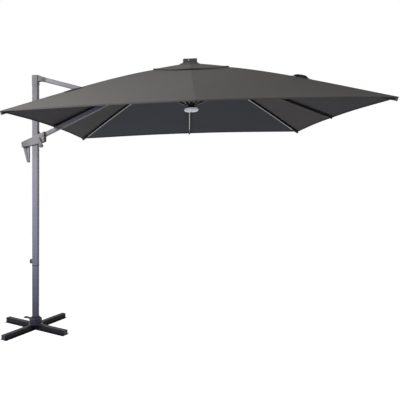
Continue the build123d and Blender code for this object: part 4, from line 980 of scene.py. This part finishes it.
# Distances out from the middle at which the rows of each mesh lie. They crowd together at the hems.
main_outs = [VENT + (HALF - HEM_BAND - 0.002 - VENT) * step / 26 for step in range(27)]
main_outs += [HALF - HEM_BAND - 0.0005, HALF - HEM_BAND + 0.001, HALF - 0.012, HALF - 0.002, HALF]
main_outs += [HALF + 0.0035, HALF + 0.0065, HALF + HEM_HANG]
cap_outs = [CAP_NECK, 0.082, 0.092, 0.105, 0.12, 0.14, 0.165, 0.195, 0.23, 0.27, 0.31, 0.342, 0.36]
cap_outs += [CAP_EDGE - 0.002, CAP_EDGE, CAP_EDGE + 0.003, CAP_EDGE + 0.008]
for side, turn in SIDES:
    reach, drop, _ = rib_shape(turn % 90 == 45)
    pieces = [
        sector_mesh("canopy_" + side, turn, cloth_point, main_outs, 28),
        sector_mesh("vent_cap_" + side, turn, cap_point, cap_outs, 16),
    ]
    for piece in pieces:
        piece.data.materials.append(canopy_top)
        piece.data.materials.append(canopy_under)
        if turn in (180, 225):
            cut_slot(piece)
        two_faced(piece, 0.0013)
        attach(piece, "rib_" + side)
        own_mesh(piece)
    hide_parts("canopy_panel_" + side)

# ---- Rib pockets ----
# A short sock of the canopy's own cloth is sewn under the hem at each rib's end. The rib's plug sits in its
# closed end and keeps the cloth tight.
pocket_cloth = polyester("pocket_cloth", (0.125, 0.122, 0.12), None, sheen=0.03, gloss=0.1, stitches=0.0)


def map_cloth(piece, laid_out):
    """Writes cloth coordinates in metres, which the laid_out function gives for each vertex."""
    cloth = piece.data.uv_layers.new(name="cloth")
    for loop in piece.data.loops:
        cloth.data[loop.index].uv = laid_out(loop.vertex_index)


for side, turn in SIDES:
    corner = turn % 90 == 45
    reach, drop, _ = rib_shape(corner)
    end = math.hypot(reach, drop) - 0.0085  # over the end face of the rib's plug
    deep = 0.100 if corner else 0.044
    stations = [end - deep, end - deep + 0.002, end - deep * 0.66, end - deep * 0.33, end - 0.006, end - 0.002, end]
    rings = []
    for along in stations:
        close = 0.02 if along == end else 0.9 if along == end - 0.002 else 1.0
        flare = 0.0008 if along == stations[0] else 0.0
        ring = rounded_ring(0.0206 * close + flare, 0.0304 * close + flare, 0.0040 * close, 4)
        rings.append([rib_place(turn, along, y, z - 0.0004) for y, z in ring])
    pocket = stack_rings("tip_pocket_" + side, rings, close_ends=False)
    wall = pocket.modifiers.new("wall", "SOLIDIFY")
    wall.thickness = 0.0008
    wall.offset = -1
    count = len(rings[0])
    map_cloth(pocket, lambda index: (0.099 * (index % count) / count, stations[index // count]))
    pocket.data.materials.append(pocket_cloth)
    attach(pocket, "rib_" + side)

# ---- Hip straps ----
# A length of black webbing is sewn at both ends on each near hip of the canopy, where the folded cloth is
# tied. The outer one twists up on edge between its seams and the other lies flat beside its hip.
webbing = polyester("black_webbing", (0.016, 0.016, 0.018), None, sheen=0.03, gloss=0.2, stitches=0.0)


def hip_strap(name, side, across_sign, first, last, beside, rise, twist=0):
    """Webbing along a near hip between two distances out, sewn flat at each end. It runs some metres beside
    the hip, and between its seams it rises and twists by so many degrees."""
    steps = 28
    sewn = 0.022
    points = []
    travelled = [0.0]
    middles = []
    for step in range(steps + 1):
        out = first + (last - first) * step / steps
        across = across_sign * (1 - beside / out)
        middles.append(CANOPY @ cloth_point(270, out, across))
    for before, after in zip(middles, middles[1:]):
        travelled.append(travelled[-1] + (after - before).length)
    total = travelled[-1]
    run = (middles[-1] - middles[0]).normalized()
    if beside:
        here = cloth_point(270, first, across_sign * (1 - beside / first))
        down = cloth_point(270, first, across_sign * (1 - (beside + 0.02) / first))
        wide = (CANOPY.to_3x3() @ (down - here)).normalized()
        wide = (wide - run * wide.dot(run)).normalized()
    else:
        wide = run.cross(CANOPY.to_3x3() @ Vector((0, 0, 1))).normalized()
    up = wide.cross(run).normalized()
    up = up if up.z > 0 else -up
    for middle, gone in zip(middles, travelled):
        free = min(max((gone - sewn) / (total - 2 * sewn), 0), 1)
        arch = math.sin(math.pi * free)
        angle = math.radians(twist) * arch ** 0.8
        over = wide * math.cos(angle) + up * math.sin(angle)
        face_way = up * math.cos(angle) - wide * math.sin(angle)
        lift = rise * arch ** 1.3 + 0.0024 * math.cos(angle) + 0.0125 * math.sin(angle)
        for half, thick in ((-0.0125, 0), (0.0125, 0), (0.0125, 0.0016), (-0.0125, 0.0016)):
            points.append(middle + over * half + up * lift + face_way * thick)
    rings = [points[4 * step:4 * step + 4] for step in range(steps + 1)]
    strap = stack_rings(name, rings)
    for face in strap.data.polygons:
        face.use_smooth = False
    map_cloth(strap, lambda index: (0.025 * (index % 4 in (1, 2)), travelled[index // 4]))
    strap.data.materials.append(webbing)
    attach(strap, "rib_" + side)


hip_strap("hip_strap_outer", "outer_near", 1, 0.868, 1.0, 0.0, 0.0, twist=80)
hip_strap("hip_strap_mast", "mast_near", -1, 0.985, 1.110, 0.017, 0.002)
